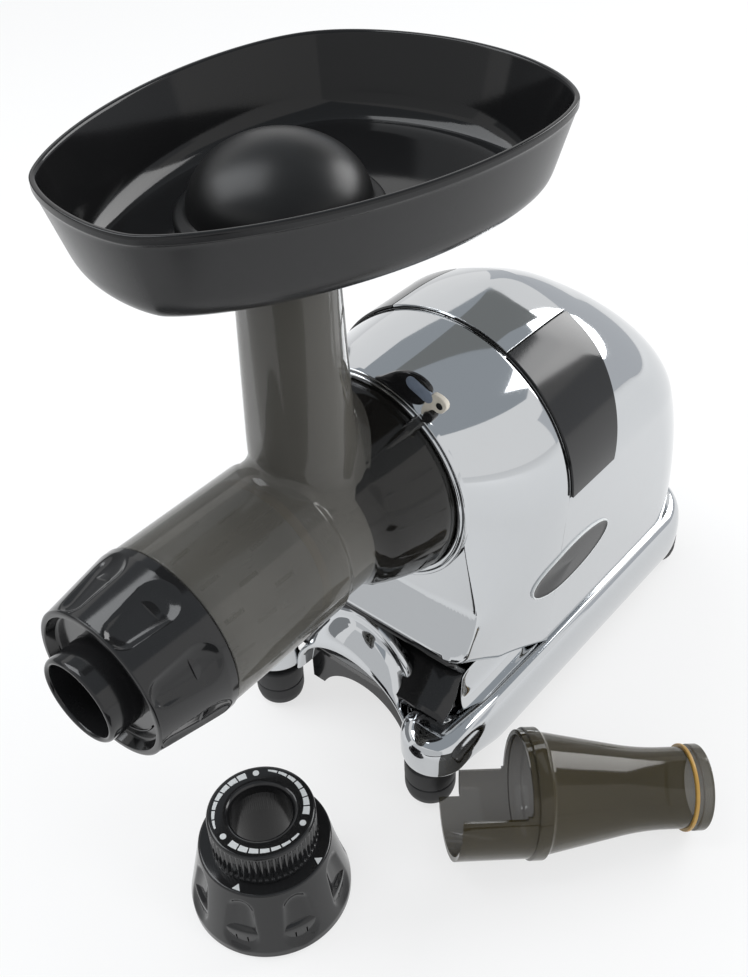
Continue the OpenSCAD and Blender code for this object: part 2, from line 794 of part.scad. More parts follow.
// A cap's form from its open edge at 0 to its closed edge at cap_len, as [radius, length]
function cap_outside(bore) = [
    [cap_in_r, 0], [cap_r - 0.6, 0], [cap_r, 0.8], [cap_r, 5], [cap_front_r, cap_len - 1.4],
    [cap_front_r - 1.4, cap_len], [cap_front_r - 3.4, cap_len], [cap_front_r - 5, cap_len - web_recess],
    [bore, cap_len - web_recess], [bore, cap_len - web_recess - web_t - 4],
    [bore + 3, cap_len - web_recess - web_t - 4], [bore + 3, cap_len - web_recess - web_t],
    [cap_front_r - 4, cap_len - web_recess - web_t], [cap_in_r - 2, neck_len + 1], [cap_in_r, neck_len + 0.5]
];

module scoop_cutters() {
    slope = atan2(cap_r - cap_front_r, cap_len - 5);
    for (i = [0:scoops - 1]) rotate([0, 0, 360 * (i + 0.5) / scoops])
        translate([cap_r - 0.4, 0, 10]) rotate([0, 90 - slope, 0]) translate([0, 0, -2.2]) {
            translate([-3, 0, 0]) cylinder(r = 8.4, h = 12);
            translate([-24, 0, 0]) cylinder(r = 6.2, h = 12);
            linear_extrude(12) polygon([[-3.8, 8.36], [-24.6, 6.17], [-24.6, -6.17], [-3.8, -8.36]]);
        }
}

module cap_form(bore) {
    difference() {
        rotate_extrude() polygon(cap_outside(bore));
        scoop_cutters();
    }
}

nozzle_seat_r = nozzle_r + seat_gap;
module end_cap() {
    color("black") translate([0, neck_y, axis_h]) rotate([90, 0, 0]) cap_form(nozzle_seat_r);
}

nozzle_rear = 12;
module nozzle_form() {
    difference() {
        union() {
            cylinder(r = nozzle_r, h = nozzle_out + web_recess + web_t + nozzle_rear);
            cylinder(r = nozzle_r + 3, h = nozzle_rear - 4 - seat_gap);
        }
        translate([0, 0, -1]) cylinder(r = nozzle_bore_r, h = 100);
    }
}
nozzle_base = cap_len - web_recess - web_t - nozzle_rear;

module outlet_nozzle() {
    color("black") translate([0, neck_y - nozzle_base, axis_h]) rotate([90, 0, 0]) nozzle_form();
}

module cap_seal() {
    color("goldenrod") tube_y(neck_out_r - 3, neck_out_r - 5.6, neck_front_y + 0.5, neck_front_y + 3.5);
}

// ---------- tray and tamper ----------

floor_z = tray_rim_z - tray_depth;

// Corner circles of the tray's rim, as [x, y, radius] from the chute's axis
tray_circles = [
    for (s = [-1, 1]) each [[s * 37.3, 79.1, 39.8], [s * 12.3, -48.4, 45.9], [s * 19.9, 30.5, 60.6]],
    [0, 60, 66], [0, -40, 52]
];
tray_points = 60;
function reach(c, a) = c[0] * cos(a) + c[1] * sin(a) + c[2];
function widest(a, i = 0, best = 0) =
    i >= len(tray_circles) ? best
    : widest(a, i + 1, reach(tray_circles[i], a) > reach(tray_circles[best], a) ? i : best);
function tray_ring(z, inset) = [for (k = [0:tray_points - 1])
    let (a = 360 * (k + 0.5) / tray_points, c = tray_circles[widest(a)])
    [c[0] + (c[2] - inset) * cos(a), c[1] + (c[2] - inset) * sin(a), z]];

module tray() {
    low = floor_z - tray_wall;
    color("black") translate([0, chute_y, 0]) rotate([0, 0, tray_turn]) difference() {
        union() {
            loft([
                tray_ring(low - 3, tray_draft + 4.5), tray_ring(low - 0.5, tray_draft + 1.2),
                tray_ring(low + 3, tray_draft - 1),
                tray_ring(tray_rim_z - 4, 0.6), tray_ring(tray_rim_z, 0)
            ]);
            translate([0, 0, low - 20]) cylinder(r = chute_top_r + 4.5, h = 22);
        }
        loft([
            tray_ring(floor_z, tray_draft + tray_wall + 3), tray_ring(floor_z + 3, tray_draft + tray_wall - 0.6),
            tray_ring(tray_rim_z + 1, tray_wall)
        ]);
        // the step that sits over the chute
        translate([0, 0, low - tray_depth])
            cylinder(r = chute_top_r + fit_gap + 0.9, h = chute_top_z + fit_gap - low + tray_depth);
        translate([0, 0, low - tray_depth]) cylinder(r = chute_bore_r, h = 2 * tray_depth);
        // hollow under the floor
        difference() {
            loft([tray_ring(low - 4, tray_draft + 7.5), tray_ring(low - 0.2, tray_draft + 7.5)]);
            translate([0, 0, low - 10]) cylinder(r = chute_top_r + 4.5, h = 12);
        }
    }
}

brim_t = 4;
module tamper() {
    base = floor_z + fit_gap;
    color([0.12, 0.12, 0.12]) translate([0, chute_y, 0]) rotate_extrude() polygon(concat(
        [[0, axis_h + flight_rear_r + tamper_room], [tamper_shaft_r - 1.5, axis_h + flight_rear_r + tamper_room],
         [tamper_shaft_r, axis_h + flight_rear_r + tamper_room + 1.5], [tamper_shaft_r, base],
         [dome_r + 4, base], [dome_r + 4, base + brim_t], [dome_r, base + brim_t + 0.5]],
        [for (a = [5:5:85]) [dome_r * cos(a), base + brim_t + 0.5 + dome_h * sin(a)]],
        [[0, base + brim_t + 0.5 + dome_h]]
    ));
}

// ---------- gears ----------

pressure_a = 20;
wheel_addendum = 0.75;
pinion_addendum = 1;
gear_clearance = 0.25;

function involute(a) = tan(a) * 180 / PI - a;

// Half the angle of a tooth at radius r
function tooth_half(teeth, r) =
    let (rp = gear_module * teeth / 2, rb = rp * cos(pressure_a))
    90 / teeth - backlash / (4 * rp) * 180 / PI + involute(pressure_a)
        - (r > rb ? involute(acos(rb / r)) : 0);

// Outline of a spur gear; turn brings a tooth to the angle turn
module spur(teeth, addendum, dedendum, turn) {
    rp = gear_module * teeth / 2;
    rb = rp * cos(pressure_a);
    ra = rp + addendum * gear_module;
    rf = rp - dedendum * gear_module;
    radii = [rf, max(rf + 0.02, rb + 0.02), lerp(max(rb, rf), ra, 0.35), lerp(max(rb, rf), ra, 0.7), ra];
    polygon([for (i = [0:teeth - 1]) each
        let (mid = turn + 360 * i / teeth)
        concat(
            [for (r = radii) let (a = mid - tooth_half(teeth, r)) [r * cos(a), r * sin(a)]],
            [for (k = [len(radii) - 1:-1:0]) let (r = radii[k], a = mid + tooth_half(teeth, r)) [r * cos(a), r * sin(a)]]
        )
    ]);
}

// Wheels have a tooth gap towards the pinion below them, pinions a tooth towards the wheel above
wheel_turn = -90 + 180 / wheel_teeth;
pinion_turn = 90;

module wheel(y0, z, bore) {
    difference() {
        along_y(y0, y0 + gear_w) translate([0, z])
            spur(wheel_teeth, wheel_addendum, pinion_addendum + gear_clearance, wheel_turn);
        rod(bore, y0 - 1, y0 + gear_w + 1, z);
        for (s = [0, 1]) tube_y(gear_module * wheel_teeth / 2 - 4.5, 14, y0 + (s ? gear_w - 2 : -1), y0 + (s ? gear_w + 1 : 2), z);
        for (a = [30:60:330])
            rod(4.5, y0 - 1, y0 + gear_w + 1, z + 21 * sin(a), 21 * cos(a));
    }
}

module pinion(y0, len, z, bore) {
    difference() {
        along_y(y0, y0 + len) translate([0, z])
            spur(pinion_teeth, pinion_addendum, wheel_addendum + gear_clearance, pinion_turn);
        rod(bore, y0 - 1, y0 + len + 1, z);
    }
}

// Planes of the two stages, front to rear
case_front_y = face_y + shell_wall + seat_gap;
case_wall = 4;
stage2_y = case_front_y + case_wall + 4;
stage1_y = stage2_y + gear_w + 3;
case_split_y = stage1_y + gear_w + 3;
cover_rear_y = case_split_y + 6;
spindle_r = 8;
counter_r = 4;

module output_gear() {
    color("lightgray") wheel(stage2_y, axis_h, spindle_r);
}

module output_spindle() {
    color("silver") difference() {
        union() {
            rod(12, spindle_front_y, case_front_y - 2);
            rod(spindle_r, case_front_y - 3, stage2_y + gear_w);
            rod(motor_shaft_r, stage2_y + gear_w - 1, case_split_y + 3);
        }
        rod(hex_r + fit_gap, spindle_front_y - 1, spindle_front_y + 16, sides = 6);
    }
}

module counter_wheel() {
    color("lightgray") wheel(stage1_y, counter_z, counter_r + 2);
}

module counter_pinion() {
    color("silver") pinion(stage2_y - 1, gear_w + 2, counter_z, counter_r);
}

module counter_shaft() {
    color("silver") union() {
        rod(counter_r, stage2_y - 6, case_split_y + 3, counter_z);
        rod(counter_r + 2, stage1_y, stage1_y + gear_w, counter_z);
    }
}

module motor_pinion() {
    color("silver") pinion(stage1_y - 1, gear_w + 2, motor_z, motor_shaft_r - 1);
}

// ---------- gearbox ----------

case_half_w = gear_module * wheel_teeth / 2 + 9;
case_top_z = axis_h + gear_module * wheel_teeth / 2 + 9;

// Outline of the case, in X and Z
module case_outline(inset = 0) {
    hull() {
        translate([0, axis_h]) circle(r = case_half_w - inset);
        translate([0, counter_z]) circle(r = case_half_w - inset);
        translate([0, motor_z]) circle(r = 22 - inset);
    }
}

case_screw_spots = [for (s = [-1, 1]) each [[s * (case_half_w + 1), axis_h], [s * (case_half_w + 1), counter_z]]];

module case_ears() {
    for (p = case_screw_spots) translate(p) circle(r = 5.5);
}

module gearbox_case() {
    color("darkgray") difference() {
        union() {
            along_y(case_front_y, case_split_y) {
                case_outline();
                case_ears();
            }
            along_y(case_front_y, case_front_y + 8) translate([0, axis_h])
                for (a = socket_screw_angles) rotate(a) {
                    translate([case_half_w - 8, -4.5]) square([socket_screw_r - case_half_w + 8, 9]);
                    translate([socket_screw_r, 0]) circle(r = 4.5);
                }
        }
        along_y(case_front_y + case_wall, case_split_y + 1) case_outline(4);
        for (p = socket_screws_at) rod(screw_r + 0.05, case_front_y - 1, case_front_y + 7, p[1], p[0]);
        rod(spindle_r + 4.05, case_front_y - 1, case_front_y + case_wall + 1);
        rod(counter_bearing_r, case_front_y + 1, case_front_y + case_wall + 1, counter_z);
        for (p = case_screw_spots) rod(1.6, case_front_y + 2, case_split_y + 1, p[1], p[0]);
    }
}

counter_bearing_r = 8;
module gearbox_cover() {
    color("darkgray") difference() {
        along_y(case_split_y + seat_gap, cover_rear_y) {
            case_outline();
            case_ears();
        }
        rod(counter_bearing_r, case_split_y - 1, case_split_y + 4, counter_z);
        rod(counter_bearing_r, case_split_y - 1, case_split_y + 4, axis_h);
        rod(14, case_split_y - 1, cover_rear_y + 1, motor_z);
        for (p = case_screw_spots) rod(2, case_split_y - 1, cover_rear_y + 1, p[1], p[0]);
    }
}

module gearbox_screws() {
    color("silver") for (p = case_screw_spots) {
        rod(1.5, case_split_y - 10, cover_rear_y + 0.2, p[1], p[0]);
        rod(3, cover_rear_y + seat_gap, cover_rear_y + 2.4, p[1], p[0]);
    }
}

module output_bearings() {
    color("silver") {
        tube_y(spindle_r + 4, spindle_r + shaft_gap, case_front_y, case_front_y + case_wall);
        tube_y(counter_bearing_r - 0.05, motor_shaft_r + shaft_gap, case_split_y + seat_gap, case_split_y + 3.8);
    }
}

module counter_bearings() {
    color("silver") {
        tube_y(counter_bearing_r - 0.05, counter_r + shaft_gap, case_front_y + 1.2, case_front_y + case_wall, counter_z);
        tube_y(counter_bearing_r - 0.05, counter_r + shaft_gap, case_split_y + seat_gap, case_split_y + 3.8, counter_z);
    }
}

// ---------- motor ----------

bell_front_y = cover_rear_y + seat_gap;
stator_y = bell_front_y + 16;
bell_rear_y = stator_y + stator_len + 20;
motor_bearing_r = 11;
fan_y = bell_rear_y + 4;

module rotor_shaft() {
    color("silver") union() {
        rod(motor_shaft_r - 1, stage1_y - 1, stage1_y + gear_w + 1, motor_z);
        rod(motor_shaft_r, stage1_y + gear_w + 1, fan_y + 12, motor_z);
    }
}

module rotor_core() {
    color("dimgray") tube_y(rotor_r, motor_shaft_r, stator_y, stator_y + stator_len, motor_z);
}

module cooling_fan() {
    color("ivory") union() {
        tube_y(11, motor_shaft_r, fan_y, fan_y + 12, motor_z);
        for (a = [0:45:315]) translate([0, fan_y, motor_z]) rotate([0, a, 0])
            rotate([0, 0, 12]) translate([10, 1, -1]) cube([stator_r - 20, 10, 2]);
        difference() {
            rod(stator_r - 16, fan_y, fan_y + 2, motor_z);
            rod(10, fan_y - 1, fan_y + 3, motor_z);
        }
    }
}

module motor_stator() {
    color("dimgray") difference() {
        rod(stator_r, stator_y, stator_y + stator_len, motor_z);
        rod(rotor_r + 0.6, stator_y - 1, stator_y + stator_len + 1, motor_z);
        for (a = [0:30:330]) rod(4, stator_y - 1, stator_y + stator_len + 1,
            motor_z + (rotor_r + 7.5) * sin(a), (rotor_r + 7.5) * cos(a));
    }
}

module motor_windings() {
    color("chocolate") {
        for (y = [stator_y - 11, stator_y + stator_len + seat_gap])
            tube_y(stator_r - 5, rotor_r + 2, y, y + 10.8, motor_z);
        for (a = [0:30:330]) rod(3.8, stator_y - 0.5, stator_y + stator_len + 0.5,
            motor_z + (rotor_r + 7.5) * sin(a), (rotor_r + 7.5) * cos(a));
    }
}

module end_bell(y0, y1, open_rear) {
    difference() {
        rod(stator_r + 1, y0, y1, motor_z);
        rod(stator_r - 3, open_rear ? y0 + 4 : y0 - 1, open_rear ? y1 + 1 : y1 - 4, motor_z);
        rod(motor_bearing_r, y0 - 1, y1 + 1, motor_z);
        for (a = [45:90:315]) rod(7, y0 - 1, y1 + 1, motor_z + 27 * sin(a), 27 * cos(a));
    }
}

module motor_end_bells() {
    color("silver") {
        end_bell(bell_front_y, stator_y - seat_gap, true);
        end_bell(stator_y + stator_len + seat_gap, bell_rear_y, false);
    }
}

module motor_bearings() {
    color("silver") for (y = [bell_front_y, bell_rear_y - 4])
        tube_y(motor_bearing_r - 0.05, motor_shaft_r + shaft_gap, y, y + 4, motor_z);
}

module motor_cradle() {
    color("dimgray") for (y = [stator_y + 4, stator_y + stator_len - 14]) difference() {
        translate([-stator_r + 8, y, deck_z + seat_gap]) cube([2 * stator_r - 16, 10, motor_z - deck_z - 12]);
        rod(stator_r + 0.2, y - 1, y + 11, motor_z);
    }
}

// radius and length of the capacitor's can
cap_can_r = 14;
cap_can_len = 44;
module run_capacitor() {
    y = stator_y + 8;
    z = motor_z + stator_r + cap_can_r + 3;
    color("ivory") rod(cap_can_r, y, y + cap_can_len, z);
    color("dimgray") difference() {
        translate([-12, y + 18, motor_z + stator_r - 8]) cube([24, 8, cap_can_r + 8]);
        rod(stator_r + seat_gap, y, y + cap_can_len, motor_z);
        rod(cap_can_r + seat_gap, y, y + cap_can_len, z);
    }
}

// ---------- controls ----------

switch_at = [70, 98];       // y and z of the switch on the left side
switch_half_l = 14;
switch_half_h = 10;
pivot_r = 1.5;              // pin that the rocker tilts on
pivot_x = 3.5;
pivot_half = switch_half_h - 0.8;
switch_x = -(half_w(switch_at[1]) + 0.6);

module switch_room(hl, hh, depth) {
    translate([switch_x - 2, switch_at[0] - hl, switch_at[1] - hh]) cube([depth, 2 * hl, 2 * hh]);
}

module switch_bezel() {
    hl = switch_half_l + 2;
    hh = switch_half_h + 2;
    color("black") difference() {
        union() {
            translate([switch_x, switch_at[0] - hl, switch_at[1] - hh]) cube([9, 2 * hl, 2 * hh]);
            translate([switch_x - 0.8, switch_at[0] - hl - 1, switch_at[1] - hh - 1]) cube([0.8, 2 * hl + 2, 2 * hh + 2]);
        }
        translate([switch_x - 2, switch_at[0] - switch_half_l + 2, switch_at[1] - switch_half_h + 2])
            cube([9, 2 * switch_half_l - 4, 2 * switch_half_h - 4]);
        rocker_pin(pivot_r + shaft_gap, pivot_half + fit_gap);
    }
}

module rocker_pin(r, half) {
    translate([switch_x + pivot_x, switch_at[0], switch_at[1] - half]) cylinder(r = r, h = 2 * half, $fn = 32);
}

module switch_rocker() {
    half = switch_half_l - 3.2;
    color("black") {
        intersection() {
            translate([switch_x - 1.5, switch_at[0] - half, switch_at[1] - switch_half_h + 2.4])
                cube([7, 2 * half, 2 * switch_half_h - 4.8]);
            for (s = [-1, 1]) translate([switch_x + pivot_x, switch_at[0], switch_at[1] - switch_half_h])
                rotate([0, 0, s * 100]) translate([0, s > 0 ? -3 : -3.6, 0])
                    cube([half + 2, 6.6, 2 * switch_half_h]);
        }
        rocker_pin(pivot_r, pivot_half);
    }
}

inlet_r = 8;
inlet_z = 38;
module power_inlet() {
    color("black") difference() {
        rod(inlet_r, base_rear_y - 12, base_rear_y - 0.5, inlet_z);
        rod(3.6, base_rear_y - 13, base_rear_y + 1, inlet_z);
    }
}

module base_screws() {
    low = deck_z - base_wall;
    color("silver") for (p = base_screw_spots) translate([p[0], p[1], 0]) {
        translate([0, 0, low - 2.5]) cylinder(r = screw_r + 1.8, h = 2.4);
        translate([0, 0, low - 0.3]) cylinder(r = screw_r, h = base_wall + boss_h - 4);
    }
}

// ---------- loose parts ----------

module on_table_cap() {
    translate([spare_cap_at[0], spare_cap_at[1], 0]) rotate([0, 0, spare_cap_turn]) children();
}

dial_r = 28.5;
dial_low_z = 46;
dial_top_z = 68.5;
dial_seat = 15;      // depth of the dial's socket for the tube
shoulder_r = 35.5;
adjust_r = 23.8;     // outer radius of the tube that the dial drives
adjust_bore_r = 16.6;
web_top_z = dial_low_z - fit_gap;

module adjuster_cap() {
    color("black") on_table_cap() difference() {
        rotate_extrude() polygon([
            [cap_in_r, 0], [cap_r - 2, 0], [cap_r - 1.2, 0.8], [cap_r - 1.2, 5], [shoulder_r + 0.6, web_top_z - 2],
            [shoulder_r - 0.6, web_top_z - 0.5], [dial_r + 1, web_top_z], [adjust_r + fit_gap, web_top_z],
            [adjust_r + fit_gap, web_top_z - 4], [shoulder_r - 4, web_top_z - 6], [cap_in_r - 3, neck_len + 2],
            [cap_in_r, neck_len]
        ]);
        translate([0, 0, -1.4]) scoop_cutters();
    }
}

module adjuster_dial() {
    ridge_r = 1.2;
    color("black") on_table_cap() difference() {
        union() {
            translate([0, 0, dial_low_z]) cylinder(r = dial_r, h = dial_top_z - dial_low_z - 2);
            translate([0, 0, dial_top_z - 2]) cylinder(r1 = dial_r, r2 = dial_r - 1.5, h = 2);
        }
        translate([0, 0, dial_low_z - 1]) cylinder(r = adjust_bore_r, h = 40);
        translate([0, 0, dial_low_z - 1]) cylinder(r = adjust_r + shaft_gap, h = dial_seat + 1);
        for (i = [0:35]) rotate([0, 0, 10 * i]) translate([dial_r + 0.5, 0, dial_low_z + 1])
            cylinder(r = ridge_r, h = dial_top_z - dial_low_z - 5, $fn = 16);
    }
}

tube_low_z = 14;
module adjuster_nozzle() {
    color("black") on_table_cap() difference() {
        union() {
            translate([0, 0, tube_low_z]) cylinder(r = adjust_r, h = dial_low_z + dial_seat - seat_gap - tube_low_z);
            translate([0, 0, tube_low_z]) cylinder(r = adjust_r + 5, h = 3);
        }
        translate([0, 0, tube_low_z - 1])
            cylinder(r = adjust_bore_r, h = dial_low_z + dial_seat - tube_low_z + 2);
    }
}

blank_r = 34.6;
blank_flange_r = 35.8;
blank_skirt_len = 41;
blank_flange_len = 8;
blank_cone_len = 58;
blank_neck_r = 22.4;
blank_neck_len = 35;
blank_lip_r = 23.8;
notch_len = 30;
notch_turn = -56;
blank_len = blank_skirt_len + blank_flange_len + blank_cone_len + blank_neck_len;
// the cone lies on its flange and its lip
blank_lean = atan2(blank_flange_r - blank_lip_r, blank_len - blank_skirt_len - 2);
blank_lift = blank_flange_r / cos(blank_lean) + (blank_skirt_len) * sin(blank_lean);

module as_lying() {
    translate([blank_at[0], blank_at[1], blank_lift + 0.02])
        rotate([0, 0, blank_turn - 90]) rotate([-blank_lean, 0, 0]) children();
}

module blank_form(points) {
    rotate([-90, 0, 0]) rotate_extrude() polygon(points);
}

module blank_cone() {
    s = blank_skirt_len;
    f = s + blank_flange_len;
    c = f + blank_cone_len;
    t = 2.6;
    cut_r = blank_flange_r + 2;
    color([0.45, 0.38, 0.3, 0.6]) as_lying() difference() {
        blank_form([
            [blank_r - t, 0], [blank_r, 0], [blank_r, s], [blank_flange_r, s + 0.6], [blank_flange_r, f],
            [blank_r - 2, f + 1], [blank_neck_r, c], [blank_neck_r, blank_len - 6], [blank_lip_r, blank_len - 6],
            [blank_lip_r, blank_len], [blank_neck_r - t, blank_len], [blank_neck_r - t, c], [blank_r - t - 2, f + 1],
            [blank_r - t, f - 2]
        ]);
        // half of the skirt is cut away from its open end, towards the machine
        rotate([0, notch_turn, 0])
            translate([-cut_r, -2, 0]) cube([2 * cut_r, notch_len + 2, cut_r]);
        blank_form([[blank_neck_r - 0.2, blank_len - 11], [blank_neck_r + 3, blank_len - 11],
            [blank_neck_r + 3, blank_len - 8.8], [blank_neck_r - 0.2, blank_len - 8.8]]);
    }
}

module blank_cone_seal() {
    color("goldenrod") as_lying() blank_form([
        [blank_neck_r - 0.1, blank_len - 10.9], [blank_lip_r - 0.4, blank_len - 10.9],
        [blank_lip_r - 0.4, blank_len - 8.9], [blank_neck_r - 0.1, blank_len - 8.9]]);
}

base_frame();
arch_liner();
recess_panel();
bottom_plate();
foot(-1, -1);  // foot_front_left
foot(1, -1);  // foot_front_right
foot(-1, 1);  // foot_rear_left
foot(1, 1);  // foot_rear_right
front_shell();
rear_shell();
handle_band();
side_insert(-1);  // side_insert_left
side_insert(1);  // side_insert_right
badge_plate();
socket_ring();
socket_screws();
lock_ring();
drum();
drum_seal();
juicing_screen();
screen_ring();
auger();
auger_shaft();
end_cap();
outlet_nozzle();
cap_seal();
tray();
tamper();
gearbox_case();
gearbox_cover();
gearbox_screws();
output_bearings();
counter_bearings();
motor_bearings();
output_gear();
output_spindle();
counter_wheel();
counter_pinion();
counter_shaft();
motor_pinion();
rotor_shaft();
rotor_core();
cooling_fan();
motor_stator();
motor_windings();
motor_end_bells();
motor_cradle();
run_capacitor();
switch_bezel();
switch_rocker();
power_inlet();
base_screws();
adjuster_cap();
adjuster_dial();
adjuster_nozzle();
blank_cone();
blank_cone_seal();
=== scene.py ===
"""Cold press juicer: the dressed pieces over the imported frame, with their finishes and a plain stage."""

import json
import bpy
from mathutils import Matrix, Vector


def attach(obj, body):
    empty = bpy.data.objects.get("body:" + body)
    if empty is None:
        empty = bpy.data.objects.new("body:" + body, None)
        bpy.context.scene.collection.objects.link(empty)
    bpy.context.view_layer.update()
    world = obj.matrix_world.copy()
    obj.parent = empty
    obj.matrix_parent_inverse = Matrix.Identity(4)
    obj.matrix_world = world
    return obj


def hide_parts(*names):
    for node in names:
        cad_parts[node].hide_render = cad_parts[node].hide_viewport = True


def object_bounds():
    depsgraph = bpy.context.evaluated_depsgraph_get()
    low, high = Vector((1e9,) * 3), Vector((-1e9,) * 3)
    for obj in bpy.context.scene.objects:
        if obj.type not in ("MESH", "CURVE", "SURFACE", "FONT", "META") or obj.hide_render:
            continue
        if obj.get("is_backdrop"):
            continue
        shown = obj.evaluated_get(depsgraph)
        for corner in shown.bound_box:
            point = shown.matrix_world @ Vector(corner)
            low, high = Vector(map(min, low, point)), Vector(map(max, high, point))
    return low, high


bl_info = {
    "name": "Cold Press Juicer",
    "version": (1, 0, 0),
    "blender": (4, 5, 0),
    "location": "3D View > Sidebar > Juicer",
    "description": "Makes the juicer's shells, base, drum, tray, caps and loose attachments over its frame",
    "category": "Add Mesh",
}

from math import acos, atan2, cos, hypot, pi, radians, sin, sqrt, tau

import bmesh
import bpy
from bpy.props import FloatProperty, FloatVectorProperty, PointerProperty
from mathutils import Matrix, Vector

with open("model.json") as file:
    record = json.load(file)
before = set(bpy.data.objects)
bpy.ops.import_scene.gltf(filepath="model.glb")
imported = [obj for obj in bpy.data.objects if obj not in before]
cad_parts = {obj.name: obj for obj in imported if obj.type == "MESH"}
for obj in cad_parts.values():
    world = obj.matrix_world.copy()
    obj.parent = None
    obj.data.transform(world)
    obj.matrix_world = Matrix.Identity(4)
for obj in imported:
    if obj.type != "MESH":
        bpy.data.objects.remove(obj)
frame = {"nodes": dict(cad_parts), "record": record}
cad_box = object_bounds()
MM = 0.001


# ---------------------------------------------------------------- sizes and colours


def length(name, description, default):
    """A size of the panel, in metres."""
    return FloatProperty(name=name, description=description, default=default, unit="LENGTH", subtype="DISTANCE")


def colour(name, description, default):
    """A colour of the panel."""
    return FloatVectorProperty(
        name=name, description=description, default=default, size=3, subtype="COLOR", min=0.0, max=1.0
    )


class JuicerSizes(bpy.types.PropertyGroup):
    """Main sizes of the juicer, as its frame has them"""

    axis_h: length("Axis height", "Height of the auger's axis above the table", 0.194)
    top_r: length("Housing top radius", "Radius of the housing's round top", 0.082)
    top_z: length("Housing top centre", "Height of the centre of the round top", 0.173)
    foot_half: length("Housing half width", "Half width of the housing at the deck", 0.076)
    base_half: length("Base half width", "Half width of the base skirt", 0.0825)
    deck_z: length("Deck height", "Height of the deck that the housing stands on", 0.057)
    apron_z: length("Apron height", "Lower edge of the front apron", 0.078)
    rear_y: length("Housing rear", "Rear end of the housing at the deck", 0.143)
    barrel_r: length("Drum radius", "Outer radius of the drum's barrel", 0.0442)
    flange_r: length("Flange radius", "Outer radius of the drum's rear flange", 0.058)
    chute_top_z: length("Chute height", "Height of the chute's top", 0.3595)
    tray_rim_z: length("Tray height", "Height of the tray's rim", 0.399)
    tray_depth: length("Tray depth", "Depth of the tray from rim to floor", 0.036)
    dome_r: length("Tamper radius", "Radius of the tamper's dome", 0.0385)
    cap_r: length("Cap radius", "Radius of a cap at its open edge", 0.045)
    dial_r: length("Dial radius", "Radius of the adjuster's dial", 0.0285)


class JuicerColours(bpy.types.PropertyGroup):
    """Colours of the juicer's finishes"""

    chrome: colour("Chrome", "Bright plated shells and base", (0.58, 0.595, 0.61))
    black: colour("Gloss black", "Caps, lock ring and inserts", (0.012, 0.012, 0.0125))
    satin: colour("Satin black", "Tray and tamper", (0.021, 0.021, 0.0215))
    smoke: colour("Smoke", "Clear drum and blank cone", (0.105, 0.100, 0.088))
    amber: colour("Amber", "Seals and screen ring", (0.52, 0.30, 0.06))
    rubber: colour("Rubber", "Feet", (0.014, 0.014, 0.015))
    floor: colour("Floor", "Floor under the machine", (0.86, 0.86, 0.86))


def mm(name):
    """One of the sizes, in millimetres."""
    return getattr(bpy.context.scene.juicer_sizes, name) / MM


def tint(name):
    """One of the colours, with its alpha."""
    return tuple(getattr(bpy.context.scene.juicer_colours, name)) + (1.0,)


def times(shade, *by):
    """A colour with its channels made stronger or weaker, all alike or one by one."""
    return tuple(c * k for c, k in zip(shade, by if len(by) == 3 else by * 3)) + (1.0,)


# ---------------------------------------------------------------- finishes


class Value:
    """A socket's number, with arithmetic that adds Math nodes."""

    def __init__(self, finish, socket):
        self.finish, self.socket = finish, socket

    def maths(self, operation, first, second=None):
        """A Math node's result."""
        values = {0: first} if second is None else {0: first, 1: second}
        return self.finish.node("ShaderNodeMath", {"operation": operation}, values).value()

    def __add__(self, other):
        return self.maths("ADD", self, other)

    def __sub__(self, other):
        return self.maths("SUBTRACT", self, other)

    def __rsub__(self, other):
        return self.maths("SUBTRACT", other, self)

    def __mul__(self, other):
        return self.maths("MULTIPLY", self, other)

    def __pow__(self, other):
        return self.maths("POWER", self, other)

    def above(self, other):
        return self.maths("GREATER_THAN", self, other)

    def limit(self, other):
        return self.maths("MAXIMUM", self, other)

    def sine(self):
        return self.maths("SINE", self)

    __radd__ = __add__
    __rmul__ = __mul__


class Node:
    """A shader node, whose outputs are read by name."""

    def __init__(self, finish, made):
        self.finish, self.made = finish, made

    def value(self, name=0):
        return Value(self.finish, self.made.outputs[name])


